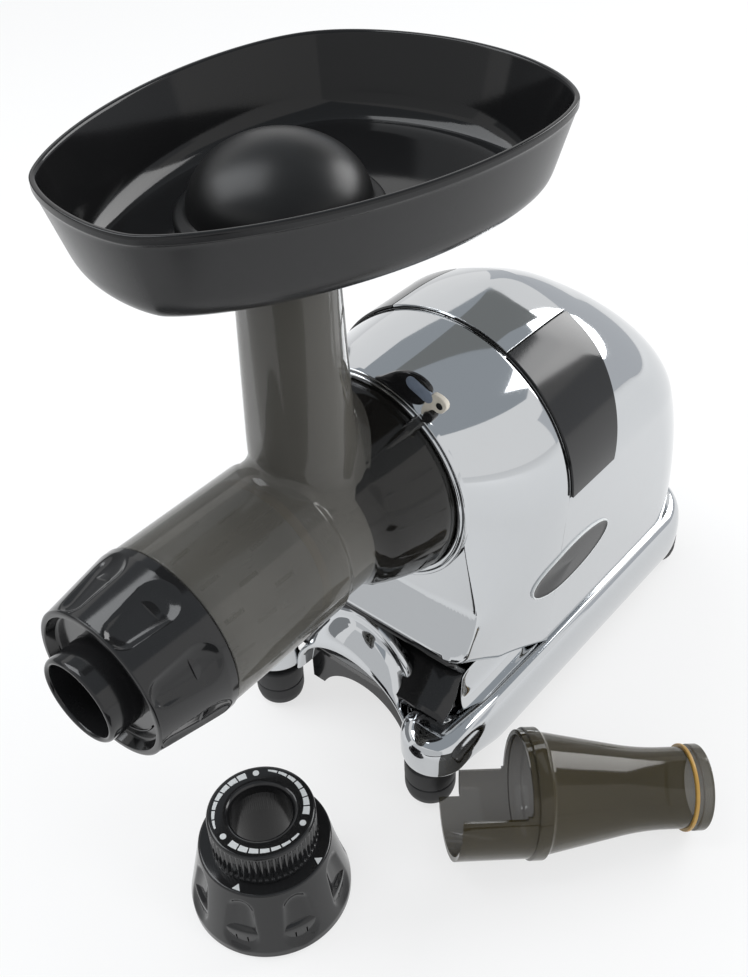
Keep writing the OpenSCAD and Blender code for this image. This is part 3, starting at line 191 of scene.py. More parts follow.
class Finish:
    """A material, world or lamp tree and the ways to add to it."""

    def __init__(self, owner):
        owner.use_nodes = True
        self.owner = owner
        self.tree = owner.node_tree
        self.tree.nodes.clear()

    def node(self, kind, settings=None, values=None):
        """A node of that kind with its settings and with its sockets given a value or a link."""
        made = self.tree.nodes.new(kind)
        for key, setting in (settings or {}).items():
            setattr(made, key, setting)
        for key, given in (values or {}).items():
            self.feed(made.inputs[key], given)
        return Node(self, made)

    def feed(self, socket, given):
        if isinstance(given, Value):
            self.tree.links.new(given.socket, socket)
        else:
            socket.default_value = given

    def mix(self, factor, first, second):
        """A colour between two colours."""
        return self.node("ShaderNodeMix", {"data_type": "RGBA"}, {0: factor, 6: first, 7: second}).value(2)

    def place(self):
        """Where a point is on the piece, in metres."""
        return self.node("ShaderNodeTexCoord").value("Object")

    def noise(self, scale, detail=2.0, roughness=0.5, where=None, distortion=0.0):
        """A number from 0 to 1 that drifts over the piece."""
        values = {"Vector": where or self.place(), "Scale": scale, "Detail": detail, "Roughness": roughness,
                  "Distortion": distortion}
        return self.node("ShaderNodeTexNoise", None, values).value("Fac")

    def stretched(self, x, y, z):
        """Object coordinates scaled by axis, for brushed and turned marks."""
        return self.node("ShaderNodeMapping", None, {"Vector": self.place(), "Scale": (x, y, z)}).value()

    def bump(self, height, distance):
        """A normal that follows a height, in metres."""
        return self.node("ShaderNodeBump", None, {"Distance": distance, "Height": height}).value()

    def seen(self):
        """1 for what is looked at straight, in a reflection or through a clear wall, else 0."""
        path = self.node("ShaderNodeLightPath")
        direct = path.value("Is Camera Ray").limit(path.value("Is Transmission Ray"))
        return direct.limit(path.value("Is Glossy Ray"))

    def surface(self, **sockets):
        """The principled surface; a socket is named with _ for a space."""
        values = {key.replace("_", " "): given for key, given in sockets.items()}
        shader = self.node("ShaderNodeBsdfPrincipled", None, values)
        self.node("ShaderNodeOutputMaterial", None, {"Surface": shader.value()})
        return self.owner


def metal_finish(f, shade, rough, vary, grain, scratch):
    """A metal whose roughness drifts over it, with a drawn-out grain and faint wipe marks."""
    fine = f.noise(900.0, 2.0, where=f.stretched(*grain))
    drift = f.noise(38.0, 3.0)
    return f.surface(
        Base_Color=f.mix(drift, times(shade, 0.96), shade), Metallic=1.0,
        Roughness=rough + vary * drift + scratch * fine, Normal=f.bump(fine, 0.00004),
    )


def plastic_finish(f, base, strength, rough, vary, grain_size, grain_depth, sheen):
    """A moulded plastic with fine grain and a faint drift of shine and colour."""
    shade = times(tint(base) if isinstance(base, str) else base, strength)
    drift = f.noise(30.0, 4.0, 0.6)
    dust = f.noise(210.0, 5.0, 0.7) ** 6.0
    light = tuple(min(1.0, c * 1.5 + 0.003) for c in shade[:3]) + (1.0,)
    return f.surface(
        Base_Color=f.mix(dust * 0.8, shade, light), Roughness=rough + vary * drift + 0.1 * dust,
        Normal=f.bump(f.noise(grain_size, 2.0), grain_depth), Specular_IOR_Level=sheen,
    )


def smoke_finish(f, strength, veil):
    """Clear smoked plastic: a thin tinted wall that shines and shows what lies behind it."""
    shade = times(tint("smoke"), *strength)
    drift = f.noise(22.0, 3.0)
    edge = f.node("ShaderNodeLayerWeight", None, {"Blend": 0.35}).value("Facing")
    flow = f.noise(7.0, 2.0, where=f.stretched(1.0, 3.0, 1.0))
    clear = (0.96 - veil) * (1.0 - edge)
    return f.surface(
        Base_Color=f.mix(flow, times(shade, 0.72), times(shade, 1.22)), Roughness=0.05 + 0.05 * drift,
        Alpha=0.96 - clear + 0.04 * drift, Normal=f.bump(f.noise(45.0, 1.0), 0.00003), Specular_IOR_Level=0.45,
    )


def trim_finish(f, first, second, size, rough):
    """A small painted or moulded piece with a worn surface of two shades."""
    worn = f.noise(size, 3.0)
    return f.surface(
        Base_Color=f.mix(worn, first, second), Roughness=rough + 0.1 * worn, Normal=f.bump(worn, 0.00001)
    )


def make_chrome(f):
    """Bright plating over plastic: softly wavy, smeared here and there, with a few pits."""
    wave = f.noise(16.0, 2.0, 0.4)
    smear = f.noise(70.0, 4.0, 0.65, distortion=0.6)
    pits = f.noise(1300.0, 1.0).above(0.78)
    tone = f.mix(smear * 0.35, tint("chrome"), times(tint("chrome"), 0.93))
    return f.surface(
        Base_Color=f.mix(pits * 0.25, tone, (0.45, 0.44, 0.43, 1.0)),
        Metallic=1.0,
        Roughness=0.035 + 0.05 * smear ** 2.0 + 0.12 * pits,
        Normal=f.bump(wave, 0.00012),
    )


def make_amber(f):
    """Soft amber rubber that lets some light through."""
    drift = f.noise(160.0, 3.0)
    return f.surface(
        Base_Color=f.mix(drift, tint("amber"), times(tint("amber"), 0.7)),
        Roughness=0.3 + 0.15 * drift, Subsurface_Weight=0.2, Subsurface_Radius=(0.004, 0.002, 0.001),
        Normal=f.bump(f.noise(900.0), 0.00001),
    )


def make_laminated(f):
    """Stacked steel sheets, with fine lines across the stack."""
    where = f.node("ShaderNodeSeparateXYZ", None, {0: f.place()}).value("Y")
    sheets = (where * 9000.0).sine()
    tone = f.mix(0.5 + 0.5 * sheets, (0.09, 0.09, 0.1, 1.0), (0.2, 0.2, 0.21, 1.0))
    return f.surface(
        Base_Color=tone, Metallic=0.8, Roughness=0.45 + 0.1 * f.noise(60.0), Normal=f.bump(sheets, 0.00004)
    )


def make_copper(f):
    """Enamelled wire, with turns that show as ridges."""
    turns = f.node(
        "ShaderNodeTexWave", {"wave_type": "RINGS"}, {"Vector": f.place(), "Scale": 260.0, "Distortion": 1.5}
    ).value("Fac")
    tone = f.mix(turns, (0.25, 0.09, 0.03, 1.0), (0.62, 0.27, 0.12, 1.0))
    return f.surface(Base_Color=tone, Metallic=0.7, Roughness=0.32 + 0.1 * turns, Normal=f.bump(turns, 0.0001))


def make_print(f):
    """Pale paint for rims, dots and scale marks."""
    worn = f.noise(650.0, 4.0, 0.7)
    return f.surface(
        Base_Color=f.mix(worn * 0.5, (0.78, 0.80, 0.80, 1.0), (0.45, 0.46, 0.46, 1.0)),
        Roughness=0.4 + 0.1 * worn, Normal=f.bump(worn, 0.00001),
    )


def make_shadow(f):
    """The dark inside of a joint between two shells."""
    return f.surface(
        Base_Color=f.mix(f.noise(120.0), (0.004, 0.004, 0.004, 1.0), (0.01, 0.01, 0.01, 1.0)), Roughness=0.8
    )


# (colour, its strength, roughness, how much it drifts, grain size, grain depth, shine)
PLASTICS = {
    "gloss_black": ("black", 1.0, 0.07, 0.07, 500.0, 0.000004, 0.45),
    "satin_black": ("satin", 1.0, 0.17, 0.12, 1500.0, 0.00001, 0.3),
    "polished_black": ("black", 0.7, 0.06, 0.06, 700.0, 0.000004, 0.3),
    "tamper_black": ("satin", 0.35, 0.3, 0.08, 2400.0, 0.00002, 0.3),
    "rubber": ("rubber", 1.0, 0.5, 0.15, 1800.0, 0.00004, 0.5),
    "ivory_plastic": ((0.62, 0.60, 0.52), 1.0, 0.4, 0.1, 1200.0, 0.00001, 0.5),
    "auger_plastic": ((0.03, 0.03, 0.032), 1.0, 0.3, 0.12, 900.0, 0.00002, 0.5),
}
# (strength of the smoke colour, how much the wall covers what lies behind it)
SMOKES = {
    "smoke": ((1.0,), 0.56),
    "olive_smoke": ((0.37, 0.3, 0.12), 0.64),
    # a much darker copy of the smoke: painted shade for the drum's bowl and its ribs
    "dark_smoke": ((0.12,), 0.8),
}
# (colour, roughness, how much it drifts, stretch of the grain, depth of the wipe marks)
METALS = {
    "steel": ((0.60, 0.60, 0.61, 1.0), 0.2, 0.08, (1.0, 0.04, 1.0), 0.12),
    "gear_metal": ((0.47, 0.46, 0.45, 1.0), 0.28, 0.1, (1.0, 0.1, 1.0), 0.15),
    "cast_alloy": ((0.50, 0.51, 0.52, 1.0), 0.42, 0.12, (0.6, 0.6, 0.6), 0.2),
    "pale_metal": ((0.62, 0.62, 0.63, 1.0), 0.32, 0.1, (1.0, 1.0, 0.1), 0.1),
}
# (first colour, second colour, size of the wear, roughness)
TRIMS = {
    "pill": ((0.16, 0.19, 0.24, 1.0), (0.22, 0.26, 0.33, 1.0), 500.0, 0.25),
    "bone": ((0.62, 0.56, 0.46, 1.0), (0.74, 0.70, 0.62, 1.0), 300.0, 0.35),
}
OTHERS = {
    "chrome": make_chrome, "amber_rubber": make_amber, "lamination": make_laminated, "copper": make_copper,
    "print": make_print, "joint_shadow": make_shadow,
}
FAMILIES = ((plastic_finish, PLASTICS), (smoke_finish, SMOKES), (metal_finish, METALS), (trim_finish, TRIMS))


def finish(name):
    """The finish of that name, made on first use; the frame's own plain materials are left alone."""
    own = f"{name}_finish"
    known = bpy.data.materials.get(own)
    if known:
        return known
    f = Finish(bpy.data.materials.new(own))
    for make, table in FAMILIES:
        if name in table:
            return make(f, *table[name])
    return OTHERS[name](f)


# ---------------------------------------------------------------- forms


def lerp(a, b, t):
    """The value at the share t of the way from a to b."""
    return a + (b - a) * t


def smooth(t):
    """An even run from 0 to 1 with soft ends."""
    t = max(0.0, min(1.0, t))
    return t * t * (3 - 2 * t)


def rounded(corners, steps=5):
    """A profile of (a, b) or (a, b, radius) corners, with each radius turned into an arc."""
    out = []
    for i, corner in enumerate(corners):
        p = Vector(corner[:2])
        if len(corner) < 3 or i in (0, len(corners) - 1):
            out.append(tuple(p))
            continue
        before = Vector(corners[i - 1][:2]) - p
        after = Vector(corners[i + 1][:2]) - p
        back = min(corner[2], before.length * 0.49)
        ahead = min(corner[2], after.length * 0.49)
        a, b = p + before.normalized() * back, p + after.normalized() * ahead
        for k in range(steps + 1):
            t = k / steps
            out.append(tuple(a * (1 - t) ** 2 + p * 2 * t * (1 - t) + b * t * t))
    return out


class Form:
    """Points and faces of one piece, in millimetres."""

    def __init__(self):
        self.points, self.faces, self.paint = [], [], []

    def grid(self, rows, around=True, along=False, paint=0, skip=None):
        """Faces between rows of as many points; around closes each row, along joins the last row to the first."""
        n, m, base = len(rows[0]), len(rows), len(self.points)
        for row in rows:
            self.points.extend(tuple(p) for p in row)
        for j in range(m if along else m - 1):
            for i in range(n if around else n - 1):
                if skip and skip(i, j):
                    continue
                self.faces.append(
                    (base + j * n + i, base + j * n + (i + 1) % n,
                     base + (j + 1) % m * n + (i + 1) % n, base + (j + 1) % m * n + i)
                )
                self.paint.append(paint)
        return self

    def turned(self, profile, place, steps=96, paint=0, shut=False):
        """A profile of (radius, height) turned about an axis; place maps (u, v, height) to the frame."""
        angles = [tau * k / steps for k in range(steps)]
        rows = [[place(r * cos(a), r * sin(a), h) for a in angles] for r, h in profile]
        return self.grid(rows, along=shut, paint=paint)

    def slab(self, outline, place, low, high, edge=0.0, paint=0):
        """A flat piece over an outline, from one height to another, with its upper edge rounded over."""
        mid = sum((Vector(p) for p in outline), Vector((0, 0))) / len(outline)
        rows = [[place(u, v, low) for u, v in outline]]
        for k in range(5):
            t = pi / 2 * k / 4
            pull = edge * (1 - cos(t))
            rows.append([
                place(*(Vector(p) - (Vector(p) - mid).normalized() * pull), high - edge * (1 - sin(t)))
                for p in outline])
        return self.grid(rows, paint=paint).lid(rows[-1], paint=paint)

    def lid(self, ring, paint=0):
        """A fan over a closed ring."""
        base = len(self.points)
        self.points.extend(tuple(p) for p in ring)
        self.points.append(tuple(sum((Vector(p) for p in ring), Vector((0, 0, 0))) / len(ring)))
        for i in range(len(ring)):
            self.faces.append((base + i, base + (i + 1) % len(ring), base + len(ring)))
            self.paint.append(paint)
        return self

    def build(self, name, body, finishes, replaces=None, sharp=32, outward=True, slot=None, thick=0.0, edge=0.0,
              fine=0):
        """Make the object, let it ride on its body and stand for the frame's nodes."""
        mesh = bpy.data.meshes.new(name)
        mesh.from_pydata([Vector(p) * MM for p in self.points], [], self.faces)
        for i, face in enumerate(mesh.polygons):
            face.material_index = self.paint[i]
        work = bmesh.new()
        work.from_mesh(mesh)
        bmesh.ops.remove_doubles(work, verts=work.verts, dist=2e-6)
        bmesh.ops.dissolve_degenerate(work, edges=work.edges, dist=1e-7)
        if outward:
            bmesh.ops.recalc_face_normals(work, faces=work.faces)
        work.to_mesh(mesh)
        work.free()
        mesh.shade_smooth()
        mesh.set_sharp_from_angle(angle=radians(sharp))
        finishes = [finishes] if isinstance(finishes, str) else finishes
        for given in finishes:
            mesh.materials.append(finish(given))
        obj = bpy.data.objects.new(name, mesh)
        bpy.context.scene.collection.objects.link(obj)
        if thick:
            wall = obj.modifiers.new("Wall", "SOLIDIFY")
            wall.thickness, wall.offset, wall.use_quality_normals = thick * MM, -1.0, True
        if edge:
            soften(obj, edge)
        if fine:
            obj.modifiers.new("Fine", "SUBSURF").levels = fine
            obj.modifiers["Fine"].render_levels = fine
        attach(obj, body)
        slot or finishes[0]
        if replaces:
            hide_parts(replaces)


def soften(obj, width, angle=30):
    """A small rounding on the sharp edges of a piece or a frame node."""
    bevel = obj.modifiers.new("Rounding", "BEVEL")
    bevel.width, bevel.segments, bevel.limit_method = width * MM, 2, "ANGLE"
    bevel.angle_limit = radians(angle)
    bevel.harden_normals = True


SIDES = ((-1, "left"), (1, "right"))
CHUTE_Y = -149.0  # the axis of chute, tray and tamper


def on_axis(u, v, h):
    """Round pieces on the machine's axis: h runs along Y."""
    return (u, h, mm("axis_h") + v)


# ---------------------------------------------------------------- housing


SEAM_Y, FACE_Y, CROWN_Y = -35.0, -100.0, 2.0  # joint of the shells, socket face, highest point of the top
REAR_POWER, FLARE_POWER = 1.85, 1.8  # how full the domed rear and the front shell's taper are
REAR_CORNER_R = 53.0
FACE_R, FACE_FLARE, FACE_HOLE_R, FACE_EDGE = 60.0, 12.0, 50.0, 1.4
CORNER_FRONT, CORNER_SEAM = 14.0, 2.0  # lower corners of the front shell at its face and at the joint
CHIN_OUT, CHIN_UP, CHIN_BEND, CHIN_RUN = 15.0, 21.0, 0.1, 0.3
CREASE_Z, CREASE_RISE, CREASE_HALF = 122.5, 10.0, 70.0
JOINT_Z, JOINT_RUN = 171.0, 6.0  # the joint of the shells is open above this height
SHELL_WALL = 2.6


def half_width(z):
    """Half width of the housing at height z."""
    r, zc = mm("top_r"), mm("top_z")
    if z <= zc:
        return lerp(mm("foot_half"), r, (z - mm("deck_z")) / (zc - mm("deck_z")))
    return sqrt(max(0.0, r ** 2 - (z - zc) ** 2))


def rear_end(z):
    """How far back the rear shell reaches at height z."""
    deck, crown = mm("deck_z"), mm("top_z") + mm("top_r")
    k = max(0.0, min(1.0, (z - deck) / (crown - deck)))
    return CROWN_Y + (mm("rear_y") - CROWN_Y) * (1 - k ** REAR_POWER) ** (1 / REAR_POWER)


def rear_corner(z):
    """Half width, rear end and the corner's two radii at height z."""
    x, y = half_width(z), max(rear_end(z), SEAM_Y + 3)
    return x, y, min(REAR_CORNER_R, x), min(REAR_CORNER_R, y - SEAM_Y - 2)


def rear_half(y, z):
    """Half width of the rear shell at a place along it and a height."""
    x, end, rx, ry = rear_corner(z)
    if y > end:
        return 0.0
    past = (y - (end - ry)) / ry
    return x if past <= 0 else x - rx + rx * sqrt(max(0.0, 1 - past * past))


def rear_skin(y, a, lift=0.0):
    """The point of the rear shell at y, at the angle a from the top about the top's centre."""
    low, high = 30.0, 100.0
    for _ in range(34):
        mid = (low + high) / 2
        inside = mid * abs(sin(a)) < rear_half(y, mm("top_z") + mid * cos(a))
        low, high = (mid, high) if inside else (low, mid)
    r = low + lift
    return (r * sin(a), y, mm("top_z") + r * cos(a))


def face_half(k):
    """Half width of the socket face, from its middle (0) down to its lower edge (1)."""
    return FACE_R + FACE_FLARE * smooth(k * 1.35)


def joint_open(z):
    """How far the joint of the shells stands open at a height."""
    return smooth((z - JOINT_Z) / JOINT_RUN)


def shell_side(y, z):
    """Half width of the housing's side at a place along it and a height."""
    if y >= SEAM_Y:
        return half_width(z)
    t = (y - FACE_Y) / (SEAM_Y - FACE_Y)
    e = 1 - (1 - t) ** FLARE_POWER
    centre = lerp(mm("axis_h"), mm("top_z"), e)
    low = mm("deck_z") + (mm("apron_z") - mm("deck_z")) * cos(pi / 2 * t)
    k = (centre - z) / (centre - low)
    return lerp(face_half(k), half_width(lerp(mm("top_z"), mm("deck_z"), k)), e)


def chin(x, y, z, low, much):
    """Below a crease the face leans forward, to an edge that lies higher and further out."""
    crease, bend = CREASE_Z + CREASE_RISE * sqrt((x / CREASE_HALF) ** 2 + 0.01), CHIN_BEND
    s = max(0.0, min(1.0, (crease - z) / (crease - low)))
    s = (s * s / (2 * bend) if s < bend else s - bend / 2) / (1 - bend / 2) * much
    return (x, y - CHIN_OUT * s, z + CHIN_UP * s)


def front_section(t, w=0.0, y=None, plain=False):
    """One section of the front shell; t runs from 0 at the face to 1 at the seam."""
    deck, zc = mm("deck_z"), mm("top_z")
    e = 1 - (1 - t) ** FLARE_POWER
    y = lerp(FACE_Y, SEAM_Y, t) if y is None else y
    r = lerp(FACE_R, mm("top_r"), e) - w
    centre = lerp(mm("axis_h"), zc, e)
    low = deck + (mm("apron_z") - deck) * cos(pi / 2 * t) + w
    rc = lerp(CORNER_FRONT, CORNER_SEAM, t)

    def side_x(k):
        return lerp(face_half(k), half_width(lerp(zc, deck, k)), e)

    xb = side_x(1.0) - w
    tops, sides = 40, 24
    top = [(r * cos(a), y, centre + r * sin(a)) for a in (pi / 2 * (1 - i / tops) for i in range(tops + 1))]
    side = [(side_x(k) - w, y, lerp(centre, low, k)) for k in (i / (sides + 1) for i in range(1, sides + 1))]
    side = [p for p in side if p[2] > low + rc * 0.9]
    corner = [(xb - rc + rc * cos(a), y, low + rc + rc * sin(a)) for a in (-pi / 2 * i / 8 for i in range(9))]
    half = top + spread(side + corner[:1], sides)[:-1] + corner
    if not plain:
        half = [chin(*p, low, max(0.0, 1 - t / CHIN_RUN)) for p in half]
    return half + [(-p[0], p[1], p[2]) for p in half[-1:0:-1]]


def spread(line, count):
    """As many points as asked for, evenly along a line."""
    points = [Vector(p) for p in line]
    runs = [0.0]
    for a, b in zip(points, points[1:]):
        runs.append(runs[-1] + (b - a).length)
    out, j = [], 0
    for i in range(count):
        want = runs[-1] * i / (count - 1)
        while j < len(runs) - 2 and runs[j + 1] < want:
            j += 1
        out.append(tuple(points[j].lerp(points[j + 1], (want - runs[j]) / max(1e-9, runs[j + 1] - runs[j]))))
    return out


def make_front_shell():
    """The front shell from its face to the joint, with the leaning chin and a black strip under it."""
    form, edge = Form(), FACE_EDGE
    stations = [(0.0, edge, FACE_Y), (0.0, edge * 0.62, FACE_Y + 0.05), (0.0, edge * 0.3, FACE_Y + 0.25),
                (0.002, edge * 0.1, FACE_Y + 0.6), (0.008, 0.02, FACE_Y + 1.1)]
    stations += [(t, 0.0, None) for t in (0.02, 0.035)]
    stations += [(0.035 + 0.955 * i / 30, 0.0, None) for i in range(1, 31)]
    rows = [front_section(*s) for s in stations]
    closed = front_section(1.0, 0.0, SEAM_Y)
    for t, w, back in ((0.994, 0.08, 0.35), (0.997, 0.3, 0.22)):
        row = []
        for p, q in zip(front_section(t, w, SEAM_Y - back), closed):
            apart = joint_open(p[2])
            row.append(tuple(Vector(q).lerp(Vector(p), apart) - Vector((0, 0.4 * back * (1 - apart), 0))))
        rows.append(row)
    n = len(rows[0])
    z0, low, steps, hole = mm("axis_h"), mm("apron_z") + edge, 22, FACE_HOLE_R
    between = [[] for _ in range(steps)]
    for x, y, z in front_section(0.0, edge, FACE_Y, plain=True):
        a = atan2(z - z0, x)
        for k, row in enumerate(between):
            t = k / steps
            row.append(chin(lerp(hole * cos(a), x, t), y, lerp(z0 + hole * sin(a), z, t), low, 1.0))
    # the flat underside between the two lower corners stays open
    form.grid(between + rows, skip=lambda i, j: j >= steps and i == (n + 1) // 2 - 1)
    # the dark underside between the chin's edge and the hollow
    under = ((FACE_Y - CHIN_OUT + 0.6, mm("apron_z") + CHIN_UP + 1.2), (-98.0, 78.2))
    form.grid([[(x, y, z) for x in (-62, -30, 0, 30, 62)] for y, z in under], around=False, paint=1)
    form.build(
        "front_housing", "machine", ["chrome", "gloss_black"], replaces="front_shell", outward=False,
        thick=SHELL_WALL, sharp=24,
    )


def make_rear_shell():
    """The rear shell by levels from the deck to the crown."""
    form = Form()
    deck, zc, r = mm("deck_z"), mm("top_z"), mm("top_r")
    levels = [lerp(deck, zc, i / 26) for i in range(26)] + [zc + r * sin(pi / 2 * i / 44) for i in range(45)]
    rows = []
    for z in levels:
        x, y, rx, ry = rear_corner(min(z, zc + r - 0.002))
        bend = [(x - rx + rx * cos(a), y - ry + ry * sin(a), z) for a in (pi / 2 * i / 26 for i in range(27))]
        apart = joint_open(z)
        lead = [(x - 0.4 * apart, SEAM_Y + 0.22 * apart, z),
                (x - 0.1 * apart, SEAM_Y + 0.08 + 0.26 * apart, z)]
        lead += [(x, lerp(SEAM_Y + 0.5, y - ry, i / 10), z) for i in range(10)]
        half = lead + bend
        rows.append(half + [(-p[0], p[1], p[2]) for p in reversed(half)])
    form.grid(rows, around=False)
    form.build(
        "rear_housing", "machine", "chrome", replaces="rear_shell", outward=False, thick=SHELL_WALL, sharp=60
    )


BAND_LOW_Z, BAND_HIGH = 174.0, 72.0
BAND_LOW_DEEP, BAND_MORE_DEEP = 42.0, 15.0
BAND_R, SPLIT_H, LOW_H = 82.0, 73.06, 1.0  # radius of the top; heights of the inserts' ends over its centre
SPLIT_A, LOW_A = acos(SPLIT_H / BAND_R), acos(LOW_H / BAND_R)
BAND_LIFT, BAND_GAP = 0.55, 0.35 / BAND_R
BAND_MAKE = {"outward": False, "thick": 1.4, "edge": 0.35, "sharp": 60}


def band_rear(z):
    """How far back the band reaches at a height."""
    return SEAM_Y + BAND_LOW_DEEP + BAND_MORE_DEEP * (z - BAND_LOW_Z) / BAND_HIGH


def band_patch(a0, a1, lift, grow=0.0, front=0.55, steps=48):
    """The strip of the rear shell behind the seam between two angles, lifted off it and grown by so much."""
    rows = []
    for j in range(steps + 1):
        a = lerp(a0, a1, j / steps)
        rear = band_rear(mm("top_z") + mm("top_r") * cos(a)) + grow
        rows.append([rear_skin(lerp(SEAM_Y + front, rear, i / 24), a, lift) for i in range(25)])
    return rows


def make_band():
    """The chromed band over the top and the dark line round it."""
    form = Form().grid(band_patch(-SPLIT_A + BAND_GAP, SPLIT_A - BAND_GAP, BAND_LIFT), around=False)
    form.build("top_band", "machine", "chrome", replaces="handle_band", **BAND_MAKE)
    past = LOW_A + 0.008
    line = Form().grid(band_patch(-past, past, 0.06, grow=0.55, front=0.25, steps=96), around=False)
    line.build("band_joint", "machine", "joint_shadow", outward=False, slot="gloss_black", thick=0.04)


def make_inserts():
    """The black inserts that carry on the band down both sides."""
    for side, name in SIDES:
        rows = band_patch(side * (SPLIT_A + BAND_GAP), side * LOW_A, BAND_LIFT)
        if side < 0:
            rows.reverse()
        form = Form().grid(rows, around=False)
        form.build(f"insert_{name}", "machine", "gloss_black", replaces=f"side_insert_{name}", **BAND_MAKE)


def make_seam():
    """The dark line between the front and rear shells."""
    form = Form()
    rows = []
    for y, w in ((SEAM_Y - 2.5, 2.0), (SEAM_Y - 0.5, 0.9), (SEAM_Y + 0.5, 0.9), (SEAM_Y + 2.5, 2.0)):
        ring = front_section(1.0, w, y)
        half = (len(ring) + 1) // 2
        rows.append(ring[half:] + ring[:half])
    form.grid(rows, around=False)
    form.build("shell_joint", "machine", "joint_shadow", outward=False, slot="gloss_black", thick=0.5)


def make_badge():
    """A bare oval plate on the right side, with a pale rim."""
    form = Form()
    lean = atan2(mm("top_r") - mm("foot_half"), mm("top_z") - mm("deck_z"))
    y0, z0, half_l, half_h = -21.0, 117.0, 38.0, 15.0

    def ring(inset, h):
        out = []
        for k in range(96):
            y = y0 + (half_l - inset) * cos(tau * k / 96)
            z = z0 + (half_h - inset) * sin(tau * k / 96)
            out.append((shell_side(y, z) + h * cos(lean), y, z - h * sin(lean)))
        return out

    form.grid([ring(*r) for r in ((0.0, -0.3), (0.0, 0.7), (0.2, 1.05), (0.7, 1.15), (1.1, 1.0))], paint=1)
    face = [ring(1.1, 1.0), ring(1.4, 0.85)]
    middle = [(shell_side(y0, z0) + 1.0, y0, z0)] * 96
    for k in range(1, 8):
        face.append([tuple(Vector(p).lerp(Vector(q), k / 8)) for p, q in zip(face[1], middle)])
    form.grid(face)
    form.lid(face[-1])
    form.build(
        "badge", "machine", ["satin_black", "print"], replaces="badge_plate", slot="gloss_black", sharp=40
    )


# ---------------------------------------------------------------- base


LEG_Y, LEG_R, LEG_RUN = -126.0, 20.0, 44.0
BASE_REAR_Y, BASE_CORNER_R = 147.0, 42.0
# (out from the outline, height) of the skirt's section along the sides and at the front legs
SIDE_PROFILE = [(-7, 44), (-7, 21), (-6.4, 20.2), (-3.8, 20), (-2.9, 20.7), (-2, 23), (-1, 26), (-0.3, 31),
                (0, 36.6), (-0.15, 42), (-0.6, 46), (-1.3, 49.5), (-2.3, 52), (-3.6, 54.2), (-5.2, 55.8),
                (-7.2, 56.7), (-10, 57), (-16, 57)]
LEG_PROFILE = [(-12, 34), (-12, 30.6), (-10, 30), (-6.5, 30.1), (-4.6, 31.2), (-2.6, 33.1), (-1.1, 35.2),
               (-0.3, 37.2), (0, 39.5), (0, 45), (0, 50.5), (-0.4, 53.3), (-1.5, 55.6), (-3.2, 57.6), (-5.4, 59),
               (-8, 60), (-12, 60.7), (-19.6, 61)]


def base_outline():
    """The base from above: centre, radius and direction of each point, and how far it belongs to a leg."""
    r, leg_x = BASE_CORNER_R, mm("base_half") - LEG_R
    x, rear = mm("base_half") - r, BASE_REAR_Y - r
    right = [(leg_x, LEG_Y, LEG_R, pi + pi * i / 36, 1.0) for i in range(37)]
    for i in range(1, 46):
        y = lerp(LEG_Y, rear, i / 46)
        right.append((x, y, r, tau, 1.0 - smooth((y - LEG_Y) / LEG_RUN)))
    right += [(x, rear, r, tau + pi / 2 * i / 20, 0.0) for i in range(21)]
    left = [(-x, y, r, pi - a, w) for x, y, r, a, w in reversed(right)]
    return right + left


def make_base():
    """The chromed skirt with its front legs, and the black wall behind the arch."""
    form = Form()
    outline = base_outline()
    rows = []
    for (out_s, z_s), (out_l, z_l) in zip(SIDE_PROFILE, LEG_PROFILE):
        row = []
        for x, y, r, a, w in outline:
            out, z = lerp(out_s, out_l, w), lerp(z_s, z_l, w)
            row.append((x + (r + out) * cos(a), y + (r + out) * sin(a), z))
        rows.append(row)
    form.grid(rows, around=False)
    # the wall behind the arch
    wall = [[(x, -104.0, z) for x in (-66, -40, 0, 40, 66)] for z in (20.5, 38, 55)]
    form.grid(wall, around=False, paint=1)
    form.build(
        "base_skirt", "machine", ["chrome", "gloss_black"], replaces="base_frame", outward=False, fine=1, sharp=70
    )
    make_arch()


def make_arch():
    """The chromed arch between the front legs, with a bead along its upper edge."""
    form = Form()
    arch_r, low_r, top_z, low_z, bead_r = 39.0, 45.0, 58.0, 29.0, 3.1
    # (share of the way from the upper to the lower edge, depth below the surface, y)
    section = [(0.0, 3.0, -110.2), (0.0, 0.2, -110.2), (0.0, 0.0, -112.6)]
    section += [(0.0, bead_r - bead_r * cos(p), -112.8 - bead_r * sin(p))
                for p in (radians(18 * i) for i in range(1, 7))]
    section += [(0.12, 3.6, -116.6), (0.25, 2.3, -118.6), (0.42, 1.2, -121.2), (0.6, 0.5, -123.6),
                (0.8, 0.1, -126.0), (0.94, 0.0, -127.6), (1.0, 0.35, -128.2), (1.02, 1.3, -128.5),
                (1.0, 2.4, -128.0), (0.98, 3.0, -126.6), (0.7, 3.2, -121.0), (0.3, 3.2, -115.0),
                (0.0, 3.2, -111.5)]
    rows = []
    for i in range(-10, 71):
        k = i / 60
        c = max(0.0, min(1.0, k))
        a, b = radians(180 - 180 * c), radians(158 - 136 * c)
        run = smooth(abs(k - c) * 6.0)
        side = -1 if k < 0.5 else 1
        up = Vector((arch_r * cos(a) + side * 2.5 * run, 0,
                     top_z - 12 * (1 - sin(a)) + arch_r * sin(a) - 10 * run))
        low = Vector((low_r * cos(b) + side * 2.5 * run, 0, low_z + low_r * sin(b) - 11.9 * run))
        row = []
        for u, v, y in section:
            p = up.lerp(low, u) - Vector((lerp(cos(a), cos(b), u), 0, lerp(sin(a), sin(b), u))) * v
            row.append((p.x, y, p.z))
        rows.append(row)
    form.grid(rows)
    form.lid(rows[0]).lid(rows[-1])
    form.build("front_arch", "machine", "chrome", sharp=60)


